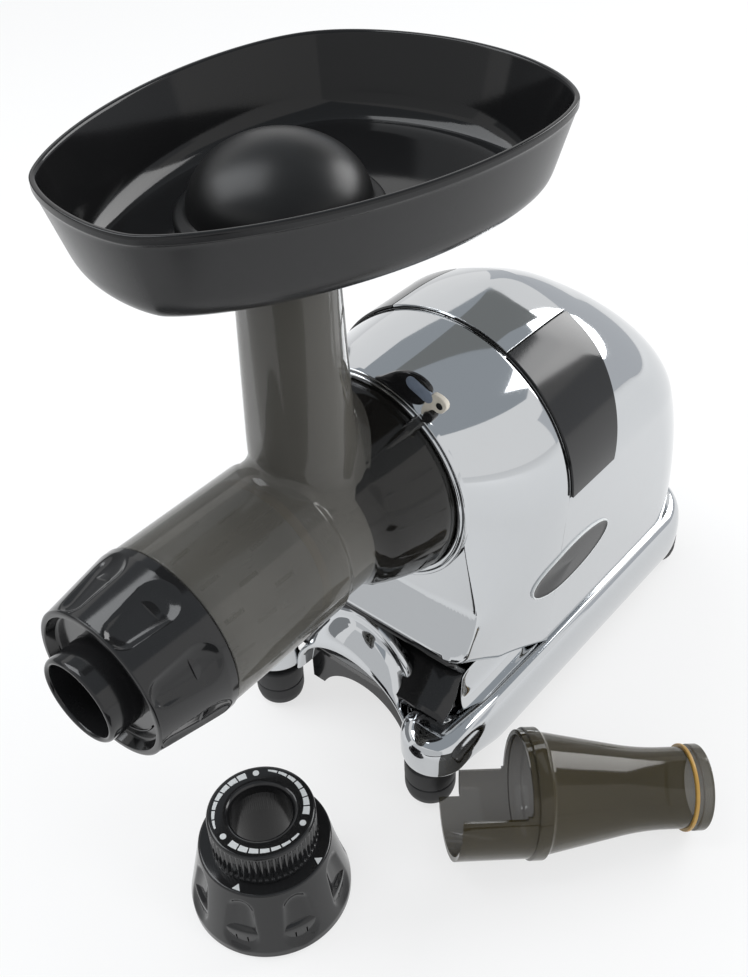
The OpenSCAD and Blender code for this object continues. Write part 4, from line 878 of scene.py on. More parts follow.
def make_recess():
    """The black hollow under the chin, and the chromed cheeks between it and the rails."""
    top = [(-97.0, 77.6, 61.0), (-104.0, 73.2, 62.5), (-110.0, 69.4, 65.0), (-116.0, 65.7, 66.5),
           (-121.0, 62.6, 66.5), (-124.0, 61.0, 66.5), (-124.0, 58.0, 66.5)]
    form = Form().grid([[(half * x, y, z) for x in (-1, -0.6, 0, 0.6, 1)] for y, z, half in top], around=False)
    form.build("front_hollow", "machine", "gloss_black", replaces="recess_panel", outward=False, thick=1.5)
    curve = ((61.6, 1.0), (62.2, 0.85), (63.2, 0.62), (64.6, 0.4), (66.6, 0.2), (69.5, 0.05), (73.0, 0.0))
    for side, name in SIDES:
        rows = []
        for y, z in ((-101.0, 75.5), (-96.0, 77.5), (-88.0, 78.0), (-70.0, 77.0), (-50.0, 74.0), (-36.0, 72.0)):
            rows.append([(side * x, y - 9.0 * (1 - up) * smooth((-60.0 - y) / 40.0), lerp(57.0, z, up))
                         for x, up in curve])
        if side > 0:
            rows.reverse()
        cheek = Form().grid(rows, around=False)
        cheek.build(f"cheek_{name}", "machine", "chrome", outward=False, thick=0.8, fine=2, sharp=80)


FOOT_X, FOOT_Y = 60.0, 128.0


def make_feet():
    """Four rubber feet with a groove, two high ones at the front and two low ones at the rear."""
    for side, name in SIDES:
        for end, y, h in (("front", -FOOT_Y, 30.0), ("rear", FOOT_Y, 20.0)):
            profile = rounded(
                [(0.0, 0.0), (9.6, 0.0, 1.0), (13.6, 2.4, 1.6), (14.9, 7.6, 1.5), (14.9, h * 0.5, 0.4),
                 (14.3, h * 0.5 + 0.5, 0.3), (14.3, h * 0.5 + 1.1, 0.3), (15.0, h * 0.5 + 1.7, 0.4),
                 (15.0, h - 1.0, 0.6), (14.2, h - 0.1, 0.3), (0.0, h - 0.1)], 4)
            form = Form().turned(profile, lambda u, v, t, x=side * FOOT_X, y=y: (x + u, y + v, t), 64)
            form.build(f"rubber_foot_{end}_{name}", "machine", "rubber", replaces=f"foot_{end}_{name}")


# ---------------------------------------------------------------- socket, lock and drum


def make_socket():
    """The chromed rim round the socket."""
    profile = rounded(
        [(50.2, -100.1), (50.2, -101.3, 0.2), (58.4, -101.35, 0.4), (58.6, -103.6, 0.5), (59.3, -104.0, 0.4),
         (60.9, -104.0, 0.8), (61.5, -103.2, 0.6), (61.5, -100.0)], 4)
    form = Form().turned(profile, on_axis, 144)
    form.build("socket_rim", "machine", "chrome", replaces="socket_ring", outward=False)


RING_IN_R, TAB_TURN = 61.8, 24.0


def tab_spot(u, v, h):
    """A point of the lock's tab: across it, out from the ring's inner edge and forward of the face."""
    a, r = radians(TAB_TURN), RING_IN_R + v
    return (u * cos(a) + r * sin(a), FACE_Y - h, mm("axis_h") - u * sin(a) + r * cos(a))


def make_lock():
    """The lock ring with its black tab, pill, bracket and lug."""
    ring = rounded(
        [(RING_IN_R, -100.45), (RING_IN_R, -103.0, 0.3), (62.1, -103.4, 0.3), (63.4, -103.4, 0.4),
         (63.8, -103.0, 0.4), (63.8, -100.45)], 3)
    form = Form().turned(ring, on_axis, 144, shut=True, paint=3)
    tab = rounded([(-8.0, 1.2), (-20.1, -1.6), (-17.3, 1.9, 2.0), (-13.5, 9.1, 4.0), (-10.2, 13.8, 4.0),
                   (-5.6, 18.3, 4.0), (-0.3, 21.0, 4.0), (4.6, 21.6, 4.0), (8.6, 20.4, 2.0), (9.8, 17.6, 2.0),
                   (8.6, 12.5, 2.0), (8.9, 8.0, 2.0), (6.0, 4.5, 2.0), (2.0, 2.0, 2.0), (-8.0, 1.2)], 4)[:-1]
    form.slab(tab, tab_spot, 0.4, 2.7, 1.1)
    pill = [(4.0 + (4.8 if cos(a) > 0 else -4.8) + 3.7 * cos(a), 15.2 + 0.1 * cos(a) + 3.7 * sin(a))
            for a in (tau * (k + 0.5) / 40 for k in range(40))]
    form.slab(pill, tab_spot, 2.2, 3.3, 0.5, 1)
    bracket = rounded([(9.0, 12.0), (10.6, 19.4, 1.5), (14.2, 21.0, 2.5), (19.4, 20.8, 3.0), (20.6, 16.4, 3.0),
                       (18.9, 11.8, 2.5), (14.2, 11.0, 1.2), (11.9, 6.0, 1.0), (10.6, 2.4, 0.6), (9.0, 6.0, 1.5),
                       (9.0, 12.0)], 4)[:-1]
    form.slab(bracket, tab_spot, 0.5, 3.2, 0.6, 2)
    dot = [(16.6 + 1.9 * cos(a), 16.2 + 1.9 * sin(a)) for a in (tau * k / 24 for k in range(24))]
    form.slab(dot, tab_spot, 3.0, 3.5, 0.2)
    lug = rounded([(12.0, 2.0), (11.4, 6.4, 1.0), (14.6, 10.2, 1.2), (17.6, 9.0, 1.5), (17.0, 3.0, 1.5),
                   (13.0, 0.4, 1.5), (12.0, 2.0)], 4)[:-1]
    form.slab(lug, tab_spot, 0.6, 4.6, 0.9)
    form.build("lock_lever", "lock", ["gloss_black", "pill", "bone", "chrome"], replaces="lock_ring",
               slot="gloss_black")


DRUM_END_Y, BARREL_Y, BOWL_Y, MOUTH_Y = -262.0, -168.0, -143.0, -101.9  # from the outlet to the socket
NECK_R, NECK_RUN = 42.0, 3.4
MOUTH_R, THROAT_R, THROAT_Y = 54.6, 37.8, -128.0
CHUTE_LOW_R, CHUTE_TOP_R, CHUTE_BORE_R, CHUTE_FILLET = 25.9, 22.3, 19.0, 7.0
SPOUT_Y = -208.0


def drum_profile():
    """Outer wall and inner wall of the drum, as (radius, y)."""
    r, flange = mm("barrel_r"), mm("flange_r")
    outer = rounded(
        [(THROAT_R, DRUM_END_Y), (39.6, DRUM_END_Y, 0.4), (40.4, -261.2, 0.5), (40.4, -243.6, 0.3),
         (r, -243.6, 0.6), (r, BARREL_Y, 1.0), (NECK_R, BARREL_Y + NECK_RUN, 1.6), (NECK_R, -143.5, 6.0),
         (49.2, -134.0, 5.0), (54.4, -121.0, 5.0), (flange, -109.6, 3.0), (flange, -102.6, 0.5),
         (flange - 0.8, MOUTH_Y, 0.3), (MOUTH_R, MOUTH_Y)], 6)
    inner = rounded(
        [(MOUTH_R, MOUTH_Y), (54.4, -108.5, 3.0), (46.2, -124.0, 2.0), (15.2, -124.0), (15.2, THROAT_Y),
         (38.4, THROAT_Y, 1.0), (38.4, -177.8, 0.2), (40.6, -178.0, 0.2), (40.6, -236.0, 0.5),
         (THROAT_R, -240.0, 0.5), (THROAT_R, DRUM_END_Y)], 4)
    return outer, inner


def saddle(out, a):
    """Height of the drum's surface under a point that far out from the chute's axis, at the angle a."""
    x, y, r = out * cos(a), CHUTE_Y + out * sin(a), mm("barrel_r")
    barrel = r if y < BARREL_Y else lerp(r, NECK_R, min(1.0, (y - BARREL_Y) / NECK_RUN))
    if y > BOWL_Y:
        barrel += 7.2 * (y - BOWL_Y) / 9.0
    return mm("axis_h") + sqrt(max(1.0, barrel ** 2 - x ** 2))


def chute_rows(steps=96):
    """The chute from its fillet on the barrel up to its rim."""
    z0, top, rows = mm("axis_h"), mm("chute_top_z"), []
    angles = [tau * k / steps for k in range(steps)]
    for k in range(9):
        t = pi / 2 * k / 8
        out = CHUTE_LOW_R + CHUTE_FILLET * (1 - sin(t))
        lift = CHUTE_FILLET * (1 - cos(t))
        rows.append([(out * cos(a), CHUTE_Y + out * sin(a), saddle(out, a) + lift - 0.4 * (1 - sin(t)))
                     for a in angles])
    foot = rows[-1]
    for k in range(1, 25):
        row = []
        for i, a in enumerate(angles):
            z = lerp(foot[i][2], top, k / 24)
            out = lerp(CHUTE_LOW_R, CHUTE_TOP_R, max(0.0, (z - z0 - 55) / (top - z0 - 55)))
            row.append((out * cos(a), CHUTE_Y + out * sin(a), z))
        rows.append(row)
    return rows


def make_drum():
    """The clear drum: barrel, bowl, chute and juice spout."""
    outer, inner = drum_profile()
    z0, top, split = mm("axis_h"), mm("chute_top_z"), -146.0
    form = Form()
    front = [p for p in outer if p[1] <= split]
    form.turned(front, on_axis, 144)
    # the bowl, outside and inside, takes the darker copy of the smoke: painted shade
    form.turned([max(front, key=lambda p: p[1])] + [p for p in outer if p[1] > split], on_axis, 144, paint=1)
    form.turned([p for p in inner if p[1] > THROAT_Y - 1.0], on_axis, 96, paint=1)
    form.turned([p for p in inner if p[1] <= THROAT_Y and p[0] > 30.0], on_axis, 96)
    form.grid(chute_rows())
    bore = [(CHUTE_TOP_R, top), (CHUTE_BORE_R, top), (CHUTE_BORE_R, z0 + 38.0)]
    form.turned(bore, lambda u, v, h: (u, CHUTE_Y + v, h), 96)
    spout = rounded([(9.0, z0 - 41.0), (9.0, z0 - 53.4, 0.6), (8.4, z0 - 54.0, 0.4), (6.5, z0 - 54.0, 0.3),
                     (6.5, z0 - 38.0)], 4)
    form.turned(spout, lambda u, v, h: (u, SPOUT_Y + v, h), 48)
    form.build("clear_drum", "drum", ["smoke", "dark_smoke"], replaces="drum", sharp=40)
    make_ribs()


def make_ribs(count=16, half=0.9):
    """The ribs inside the bowl and the bar on its flange."""
    ribs = Form()
    for i in range(count):
        a = tau * (i + 0.5) / count
        rows = []
        # (y, radius at the rib's inner edge, radius at its foot on the bowl)
        for y, low, top in ((-141.0, 41.6, 43.2), (-134.0, 41.6, 49.0), (-121.0, 44.0, 54.2),
                            (-110.0, 50.0, 57.6)):
            section = ((low, -half), (top, -half), (top + 0.35, 0.0), (top, half), (low, half))
            rows.append([on_axis(r * sin(a) + s * cos(a), r * cos(a) - s * sin(a), y) for r, s in section])
        ribs.grid(rows)
    # the bar that the lock's lug takes hold of
    a, rows = radians(34.4), []
    for y, r, wide, high in ((-102.0, 60.0, 3.4, 4.0), (-108.0, 58.4, 3.2, 3.2), (-114.0, 56.6, 2.6, 2.4),
                             (-121.0, 54.2, 1.6, 1.0), (-123.0, 53.4, 1.0, 0.2)):
        row = []
        for u, v in ((-1, -0.6), (-0.9, 0.6), (-0.5, 1.0), (0.5, 1.0), (0.9, 0.6), (1, -0.6)):
            out, off = r + high * v, wide * u
            row.append(on_axis(out * sin(a) + off * cos(a), out * cos(a) - off * sin(a), y))
        rows.append(row)
    ribs.grid(rows)
    ribs.lid(rows[0]).lid(rows[-1])
    # the ribs and the flange's bar take the bowl's darker smoke: painted shade
    ribs.build("bowl_ribs", "drum", "dark_smoke", slot="smoke", sharp=40)


# ---------------------------------------------------------------- caps


CAP_IN_R, CAP_SHELF = 40.7, 14.0  # the bore both caps slide on with, and how deep it goes
SCOOP_LOW, SCOOP_HIGH = 15.0, 33.0  # heights of a scoop's two round ends
SCOOP_DEEP, SCOOP_SOFT = 1.35, 0.012


def scoop_depth(angle, h, count=8):
    """How deep the finger scoops are at an angle round a cap and a height from its open edge."""
    step = tau / count
    off = (angle + step * 64) % step - step / 2
    v = max(0.0, min(1.0, (h - SCOOP_LOW) / (SCOOP_HIGH - SCOOP_LOW)))
    across = off * lerp(44.0, 40.0, v)
    along = h - max(SCOOP_LOW, min(SCOOP_HIGH, h))
    inside = 1 - (hypot(across, along) / lerp(10.6, 7.8, v)) ** 3
    return SCOOP_DEEP * (inside + sqrt(inside * inside + SCOOP_SOFT))


def cap_wall(form, place, r0, r1, height, lip):
    """The outside of a cap with its finger scoops, from the open edge up to the closed edge."""
    steps, levels = 320, 72
    rows = []
    for j in range(levels + 1):
        h = lerp(0.9, height - lip, j / levels)
        r = r0 if h < 5 else lerp(r0, r1, (h - 5) / (height - lip - 5))
        row = []
        for k in range(steps):
            a = tau * k / steps
            rr = r - scoop_depth(a, h)
            row.append(place(rr * cos(a), rr * sin(a), h))
        rows.append(row)
    lip_in = [(CAP_IN_R, CAP_SHELF), (CAP_IN_R, 0.0, 0.4), (r0 - 0.9, 0.0, 0.5), (r0, 0.9)]
    start = [[place(r * cos(tau * k / steps), r * sin(tau * k / steps), h) for k in range(steps)]
             for r, h in rounded(lip_in, 3)]
    form.grid(start + rows)


def end_cap_place(u, v, h):
    """The mounted cap: h forward from its open edge."""
    return (u, -244.0 - h, mm("axis_h") + v)


def make_end_cap():
    """The cap on the drum's end with its nozzle."""
    form = Form()
    cap_wall(form, end_cap_place, mm("cap_r"), 39.0, 41.6, 1.4)
    front = rounded([(39.0, 40.2), (39.0, 40.9, 0.5), (38.1, 41.6, 0.6), (35.8, 41.6, 0.5), (34.2, 35.7, 1.4),
                     (22.6, 35.6)], 5)
    form.turned(front, end_cap_place, 160)
    inner = rounded([(22.6, 31.0), (25.4, 30.4), (34.4, 32.0, 2.0), (38.4, 19.5, 1.0), (CAP_IN_R, 18.0),
                     (CAP_IN_R, CAP_SHELF)], 3)
    form.turned(inner, end_cap_place, 120)
    # the raised half ring beside the nozzle
    rows = []
    for k in range(49):
        a = radians(-150 + 120 * k / 48)
        rows.append([end_cap_place((29.0 + dr) * cos(a), (29.0 + dr) * sin(a), 36.0 + dh)
                     for dr, dh in ((-0.6, -0.6), (-0.35, 0.2), (0.0, 0.35), (0.35, 0.2), (0.6, -0.6))])
    form.grid(rows, around=False)
    form.build("end_cap_shell", "end_cap", "gloss_black", replaces="end_cap", sharp=36)
    make_nozzle()


def make_nozzle():
    """The outlet for the pulp."""
    profile = rounded(
        [(25.3, 24.0), (25.3, 30.2, 0.4), (22.45, 30.4, 0.8), (22.45, 52.6, 1.4), (21.4, 54.0, 0.9),
         (20.2, 54.0, 0.8), (19.2, 53.0, 0.8), (19.2, 20.8), (25.3, 20.6), (25.3, 24.0)], 5)
    form = Form().turned(profile, end_cap_place, 120)
    form.build("pulp_nozzle", "end_cap", "gloss_black", replaces="outlet_nozzle")


# ---------------------------------------------------------------- tray and tamper


# the rim's distance from the chute, as a sum of even and odd waves round it
TRAY_EVEN = (97.8, 17.2, 14.8, -4.2, -2.8, 1.4)
TRAY_ODD = (0.0, 0.0, 2.5, 2.8, 1.0, -0.5)


def tray_rim(a, inset):
    """The rim's outline drawn in by so much, where it faces the angle a from the rear end."""
    h = sum(e * cos(k * a) + o * sin(k * a) for k, (e, o) in enumerate(zip(TRAY_EVEN, TRAY_ODD))) - inset
    d = sum(k * (o * cos(k * a) - e * sin(k * a)) for k, (e, o) in enumerate(zip(TRAY_EVEN, TRAY_ODD)))
    return h * sin(a) + d * cos(a), h * cos(a) - d * sin(a)


def make_tray():
    """The hopper tray: satin outside, polished inside, with the collar that goes over the chute."""
    form = Form()
    rim, floor, draft, wall = mm("tray_rim_z"), mm("tray_rim_z") - mm("tray_depth"), 10.5, 2.6
    low, turn, steps = floor - wall, radians(-11.0), 288
    aims = [-tau * k / steps for k in range(steps)]

    def spot(u, v, z):
        return (u * cos(turn) - v * sin(turn), CHUTE_Y + u * sin(turn) + v * cos(turn), z)

    def level(inset, z):
        return [spot(*tray_rim(a, inset), z) for a in aims]

    def ring(r, z):
        return [spot(u * r / hypot(u, v), v * r / hypot(u, v), z) for u, v in (tray_rim(a, 0.0) for a in aims)]

    def filled(first, last):
        return [[tuple(Vector(p).lerp(Vector(q), t)) for p, q in zip(first, last)] for t in (0.33, 0.66)]

    # (inset from the rim's outline, z): the underside and the outside, then the rim and the inside
    outside = [level(*p) for p in rounded(
        [(draft + 9.0, low - 0.4), (draft + 7.0, low - 0.4, 1.2), (draft + 6.4, low - 2.9, 0.6),
         (draft + 4.6, low - 2.9, 0.8), (draft + 1.6, low - 0.6, 3.0), (draft - 1.2, low + 4.0, 5.0),
         (0.7, rim - 4.4, 2.5), (0.0, rim - 3.6, 0.6), (0.0, rim - 1.4)], 6)]
    inside = [level(*p) for p in rounded(
        [(0.0, rim - 1.4), (0.0, rim, 0.9), (1.9, rim, 0.8), (wall, rim - 0.9, 0.8),
         (draft + wall - 1.2, floor + 6.0, 5.0), (draft + wall + 3.4, floor + 0.1, 4.0),
         (draft + wall + 6.5, floor)], 6)]
    hole = [ring(*p) for p in rounded([(30.0, floor), (20.2, floor, 0.6), (19.4, floor - 3.0)], 4)]
    collar = [ring(*p) for p in rounded(
        [(23.4, floor - 3.4), (23.4, low - 19.8, 0.3), (24.0, low - 20.0, 0.4), (26.0, low - 20.0, 0.6),
         (26.8, low - 18.8, 0.6), (26.8, low - 2.4, 2.0), (30.0, low - 0.4)], 4)]
    form.grid(collar + filled(collar[-1], outside[0]) + outside)
    form.grid(inside + filled(inside[-1], hole[0]) + hole, paint=1)
    form.build("tray_shell", "tray", ["satin_black", "polished_black"], replaces="tray", sharp=45)


def make_tamper():
    """The tamper: a tube in the chute, a collar that rests on the tray and a dome to press on."""
    z = mm("tray_rim_z") - mm("tray_depth") + 0.3
    r, h, low = mm("dome_r"), 28.5, mm("axis_h") + 40.6
    profile = rounded(
        [(0.0, low), (15.6, low, 1.5), (17.6, low + 2.4, 1.5), (17.6, z - 1.5, 1.4), (20.0, z, 0.8),
         (43.2, z, 0.6), (44.0, z + 0.9, 0.8), (44.0, z + 3.0, 0.8), (43.0, z + 4.0, 0.8),
         (r + 0.9, z + 4.2, 0.9), (r, z + 4.9)], 4)
    profile += [(r * cos(a), z + 4.5 + h * sin(a)) for a in (pi / 2 * i / 40 for i in range(1, 41))]
    form = Form().turned(profile, lambda u, v, t: (u, CHUTE_Y + v, t), 128)
    form.build("tamper_body", "tamper", "tamper_black", replaces="tamper", slot="satin_black")


# ---------------------------------------------------------------- loose attachments


SPARE_AT = (30.6, -232.5)


def on_table(u, v, h):
    """The adjuster on the table: across, along and up from the middle of its open edge."""
    return (SPARE_AT[0] + u, SPARE_AT[1] + v, h)


def make_adjuster():
    """The cap of the adjuster, like the end cap but taller and closed by the dial."""
    form = Form()
    cap_wall(form, on_table, mm("cap_r") - 1.2, 35.6, 45.0, 1.6)
    top = rounded([(35.6, 43.4), (35.4, 44.6, 0.8), (34.6, 45.3, 0.7), (29.6, 45.7, 0.5), (24.2, 45.7)], 4)
    form.turned(top, on_table, 160)
    inner = rounded(
        [(24.2, 45.7), (24.2, 41.6, 0.3), (31.4, 39.6, 2.0), (37.8, 20.0, 1.0), (CAP_IN_R, 18.0, 1.0),
         (CAP_IN_R, CAP_SHELF)], 3)
    form.turned(inner, on_table, 120)
    form.build("adjuster_shell", "adjuster", "gloss_black", replaces="adjuster_cap", sharp=36)


def make_dial():
    """The turning dial: ridged side, sunk top and a raised pale scale of its own."""
    form = Form()
    r, z0, z1 = mm("dial_r"), 46.0, 68.5
    steps, ridges, groove = 432, 54, 1.1
    rows = []
    for h, cut in ((z0, 0.2), (z0 + 0.6, 0.0), (z0 + 2.0, 0.0), (z0 + 2.6, 1.0), (z0 + 3.4, 1.0), (z0 + 11.0, 1.0),
                   (z1 - 4.4, 1.0), (z1 - 3.0, 1.0), (z1 - 2.4, 0.0), (z1 - 1.8, 0.0)):
        row = []
        for k in range(steps):
            a = tau * k / steps
            wave = 0.5 + 0.5 * cos(ridges * a)
            rr = r - cut * groove * (1 - wave) ** 1.5
            row.append(on_table(rr * cos(a), rr * sin(a), h))
        rows.append(row)
    form.grid(rows)
    top = rounded(
        [(r, z1 - 1.8), (r - 0.4, z1 - 0.6, 0.6), (r - 1.5, z1, 0.7), (19.0, z1, 0.8), (17.6, z1 - 0.9, 0.8),
         (16.6, z1 - 2.6, 0.8), (16.6, z0)], 5)
    form.turned(top, on_table, 144)
    form.build("dial_body", "dial", "gloss_black", replaces="adjuster_dial", sharp=40)
    make_marks(z1)


def make_marks(z):
    """Three dots, three tapering arcs with ticks left open between them and two arrowheads."""
    form = Form()

    def patch(outline, h, thick=0.22):
        low = [on_table(u, v, h - 0.05) for u, v in outline]
        high = [on_table(u, v, h + thick) for u, v in outline]
        form.grid([low, high])
        form.lid(high)

    def at(r, a):
        return r * cos(a), r * sin(a)

    start, spans, dot_at, dot_r, arc_r = radians(-100), 7, 23.6, 1.7, 25.4
    for third in range(3):
        base = start + tau * third / 3
        patch([(dot_at * cos(base) + dot_r * cos(a), dot_at * sin(base) + dot_r * sin(a))
               for a in (tau * k / 20 for k in range(20))], z)
        for j in range(spans):
            a0 = base + radians(13 + 13.4 * j)
            a1 = a0 + radians(11.4)
            w0, w1 = lerp(3.6, 1.0, j / spans), lerp(3.6, 1.0, (j + 1) / spans)
            outer = [at(arc_r, lerp(a0, a1, k / 5)) for k in range(6)]
            inner = [at(arc_r - lerp(w0, w1, k / 5), lerp(a0, a1, k / 5)) for k in range(5, -1, -1)]
            patch(outer + inner, z)
    form.build("dial_scale", "dial", "print", slot="gloss_black", sharp=30)
    arrows = Form()
    for a in (radians(-72), radians(12)):
        tip = [on_table(*at(33.8, a + s), 45.9) for s in (-0.065, 0.065)]
        tip.append(on_table(*at(30.4, a), 46.1))
        low = [(x, y, h - 0.6) for x, y, h in tip]
        arrows.grid([low, tip])
        arrows.lid(tip)
    arrows.build("cap_arrows", "adjuster", "print", slot="gloss_black")


def lying(u, v, h):
    """The blank cone on the table: h runs from its open end to its lip."""
    long, skirt, flange_r, lip_r = 142.0, 41.0, 35.8, 23.8
    lean = atan2(flange_r - lip_r, long - skirt - 2)
    lift = flange_r / cos(lean) + skirt * sin(lean)
    turn = radians(46 - 90)
    x, y, z = u, h * cos(lean) + v * sin(lean), v * cos(lean) - h * sin(lean)
    return (90.1 + x * cos(turn) - y * sin(turn), -149.1 + x * sin(turn) + y * cos(turn), lift + 0.02 + z)


def make_blank():
    """The blank cone: a notched skirt, a flange, a tapering tube and its seal."""
    steps, notch_len, corner, centre, skirt_r = 144, 38.0, 4.0, radians(121.0), 34.6

    def cut(i, j):
        """Half of the skirt is open towards the machine, with rounded inner corners; it also clears the foot."""
        a, h = tau * (i + 0.5) / steps, (stations[j] + stations[j + 1]) / 2
        past = max(0.0, h - (notch_len - corner))
        side = pi / 2 - (corner - sqrt(max(0.0, corner ** 2 - past ** 2))) / skirt_r
        beside_foot = h < 12.0 and radians(200) < a < radians(234)
        return beside_foot or (h < notch_len and abs((a - centre + pi) % tau - pi) < side)

    stations = [0.2, 0.6, 5.0, 12.0, 20.0, 27.0, 34.0, 35.0, 36.0, 36.8, 37.4, 38.0, 40.9]
    rows = [[lying((34.5 if h < 0.4 else skirt_r) * cos(tau * k / steps), skirt_r * sin(tau * k / steps), h)
             for k in range(steps)] for h in stations]
    Form().grid(rows, skip=cut).build(
        "cone_skirt", "blank", "olive_smoke", slot="smoke", thick=2.6, edge=0.3, sharp=40
    )
    outer = rounded(
        [(skirt_r, 40.8), (35.8, 41.4, 0.4), (35.8, 48.6, 0.5), (33.4, 49.8, 2.0), (22.4, 107.0, 14.0),
         (22.4, 135.6, 0.3), (23.8, 136.2, 0.4), (23.8, 141.4, 0.5), (23.2, 142.0, 0.3), (19.9, 142.0)], 6)
    inner = rounded([(19.9, 142.0), (19.8, 107.0, 12.0), (30.0, 50.0, 3.0), (32.0, 47.0), (32.0, 40.8)], 6)
    form = Form().turned(outer + inner, lying, steps, shut=True)
    form.build("cone_shell", "blank", "olive_smoke", slot="smoke", replaces="blank_cone", sharp=40)
    seal = rounded([(22.2, 131.1), (24.0, 131.1, 0.3), (24.2, 132.1, 0.5), (24.0, 133.1, 0.3), (22.2, 133.1)], 3)
    Form().turned(seal, lying, 96).build("cone_seal", "blank", "amber_rubber", replaces="blank_cone_seal")


# ---------------------------------------------------------------- frame nodes that stay


def dress_frame():
    """Finishes and small roundings for the frame nodes that are shown as they are."""
    slots = {part["node"]: part["material_slot"] for part in frame["record"]["subparts"]}
    rounding = {"arch_liner": 0.5, "bottom_plate": 0.5, "switch_bezel": 0.5, "switch_rocker": 0.4,
                "motor_cradle": 0.5, "gearbox_case": 0.4, "gearbox_cover": 0.4, "power_inlet": 0.4}
    for name, node in frame["nodes"].items():
        if node.hide_render:
            continue
        node.data.materials.clear()
        node.data.materials.append(finish(slots[name]))
        node.data.shade_smooth()
        node.data.set_sharp_from_angle(angle=radians(28))
        if name in rounding:
            soften(node, rounding[name], 40)


# ---------------------------------------------------------------- stage


CAMERA_AT, CAMERA_TURN, CAMERA_TILT, CAMERA_ROLL = (0.32375, -0.46545, 0.59815), 41.44, 40.49, -2.46
CAMERA_FOCAL, PICTURE_HIGH, SENSOR = 1209.63, 977.0, 36.0
FLOOR_HALF, FLOOR_GLOW = 6.0, 0.7


def make_camera():
    """The camera at its fixed place: turn, tilt and roll in degrees."""
    turn, tilt, roll = radians(CAMERA_TURN), radians(CAMERA_TILT), radians(CAMERA_ROLL)
    back = Vector((sin(turn) * cos(tilt), -cos(turn) * cos(tilt), sin(tilt)))
    right = Vector((cos(turn), sin(turn), 0.0))
    up = back.cross(right)
    across = right * cos(roll) + up * sin(roll)
    rise = up * cos(roll) - right * sin(roll)
    data = bpy.data.cameras.new("camera")
    data.sensor_fit, data.sensor_height = "VERTICAL", SENSOR
    data.lens = CAMERA_FOCAL / PICTURE_HIGH * SENSOR
    camera = bpy.data.objects.new("camera", data)
    bpy.context.scene.collection.objects.link(camera)
    camera.matrix_world = Matrix.Translation(CAMERA_AT) @ Matrix(
        (across, rise, back)).transposed().to_4x4()
    bpy.context.scene.camera = camera


def plane(name, corners, material):
    """A flat piece of the stage."""
    mesh = bpy.data.meshes.new(name)
    mesh.from_pydata(corners, [], [tuple(range(len(corners)))])
    mesh.materials.append(material)
    obj = bpy.data.objects.new(name, mesh)
    bpy.context.scene.collection.objects.link(obj)
    obj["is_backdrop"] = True
    return obj


def card(name, shade, *corners):
    """A flat card that only shows in reflections."""
    f = Finish(bpy.data.materials.new(name))
    glow = f.node("ShaderNodeEmission", None, {"Color": (*shade, 1.0), "Strength": 1.0})
    f.node("ShaderNodeOutputMaterial", None, {"Surface": glow.value()})
    obj = plane(name, corners, f.owner)
    obj.visible_camera = obj.visible_diffuse = obj.visible_shadow = obj.visible_transmission = False


def upright(name, shade, centre, width, low, high):
    """A card that stands facing the machine."""
    x, y = centre
    side = Vector((-y, x)).normalized() * width / 2
    card(name, shade, (x - side.x, y - side.y, low), (x + side.x, y + side.y, low), (x + side.x, y + side.y, high),
         (x - side.x, y - side.y, high))


def lamp(name, place, towards, size, power, shade=(1.0, 1.0, 1.0)):
    """A rectangular lamp that looks at a point."""
    data = bpy.data.lights.new(name, "AREA")
    data.shape, data.size, data.size_y, data.energy, data.color = "RECTANGLE", size[0], size[1], power, shade
    obj = bpy.data.objects.new(name, data)
    bpy.context.scene.collection.objects.link(obj)
    aim = (Vector(towards) - Vector(place)).to_track_quat("-Z", "Y")
    obj.matrix_world = Matrix.Translation(place) @ aim.to_matrix().to_4x4()
    return obj


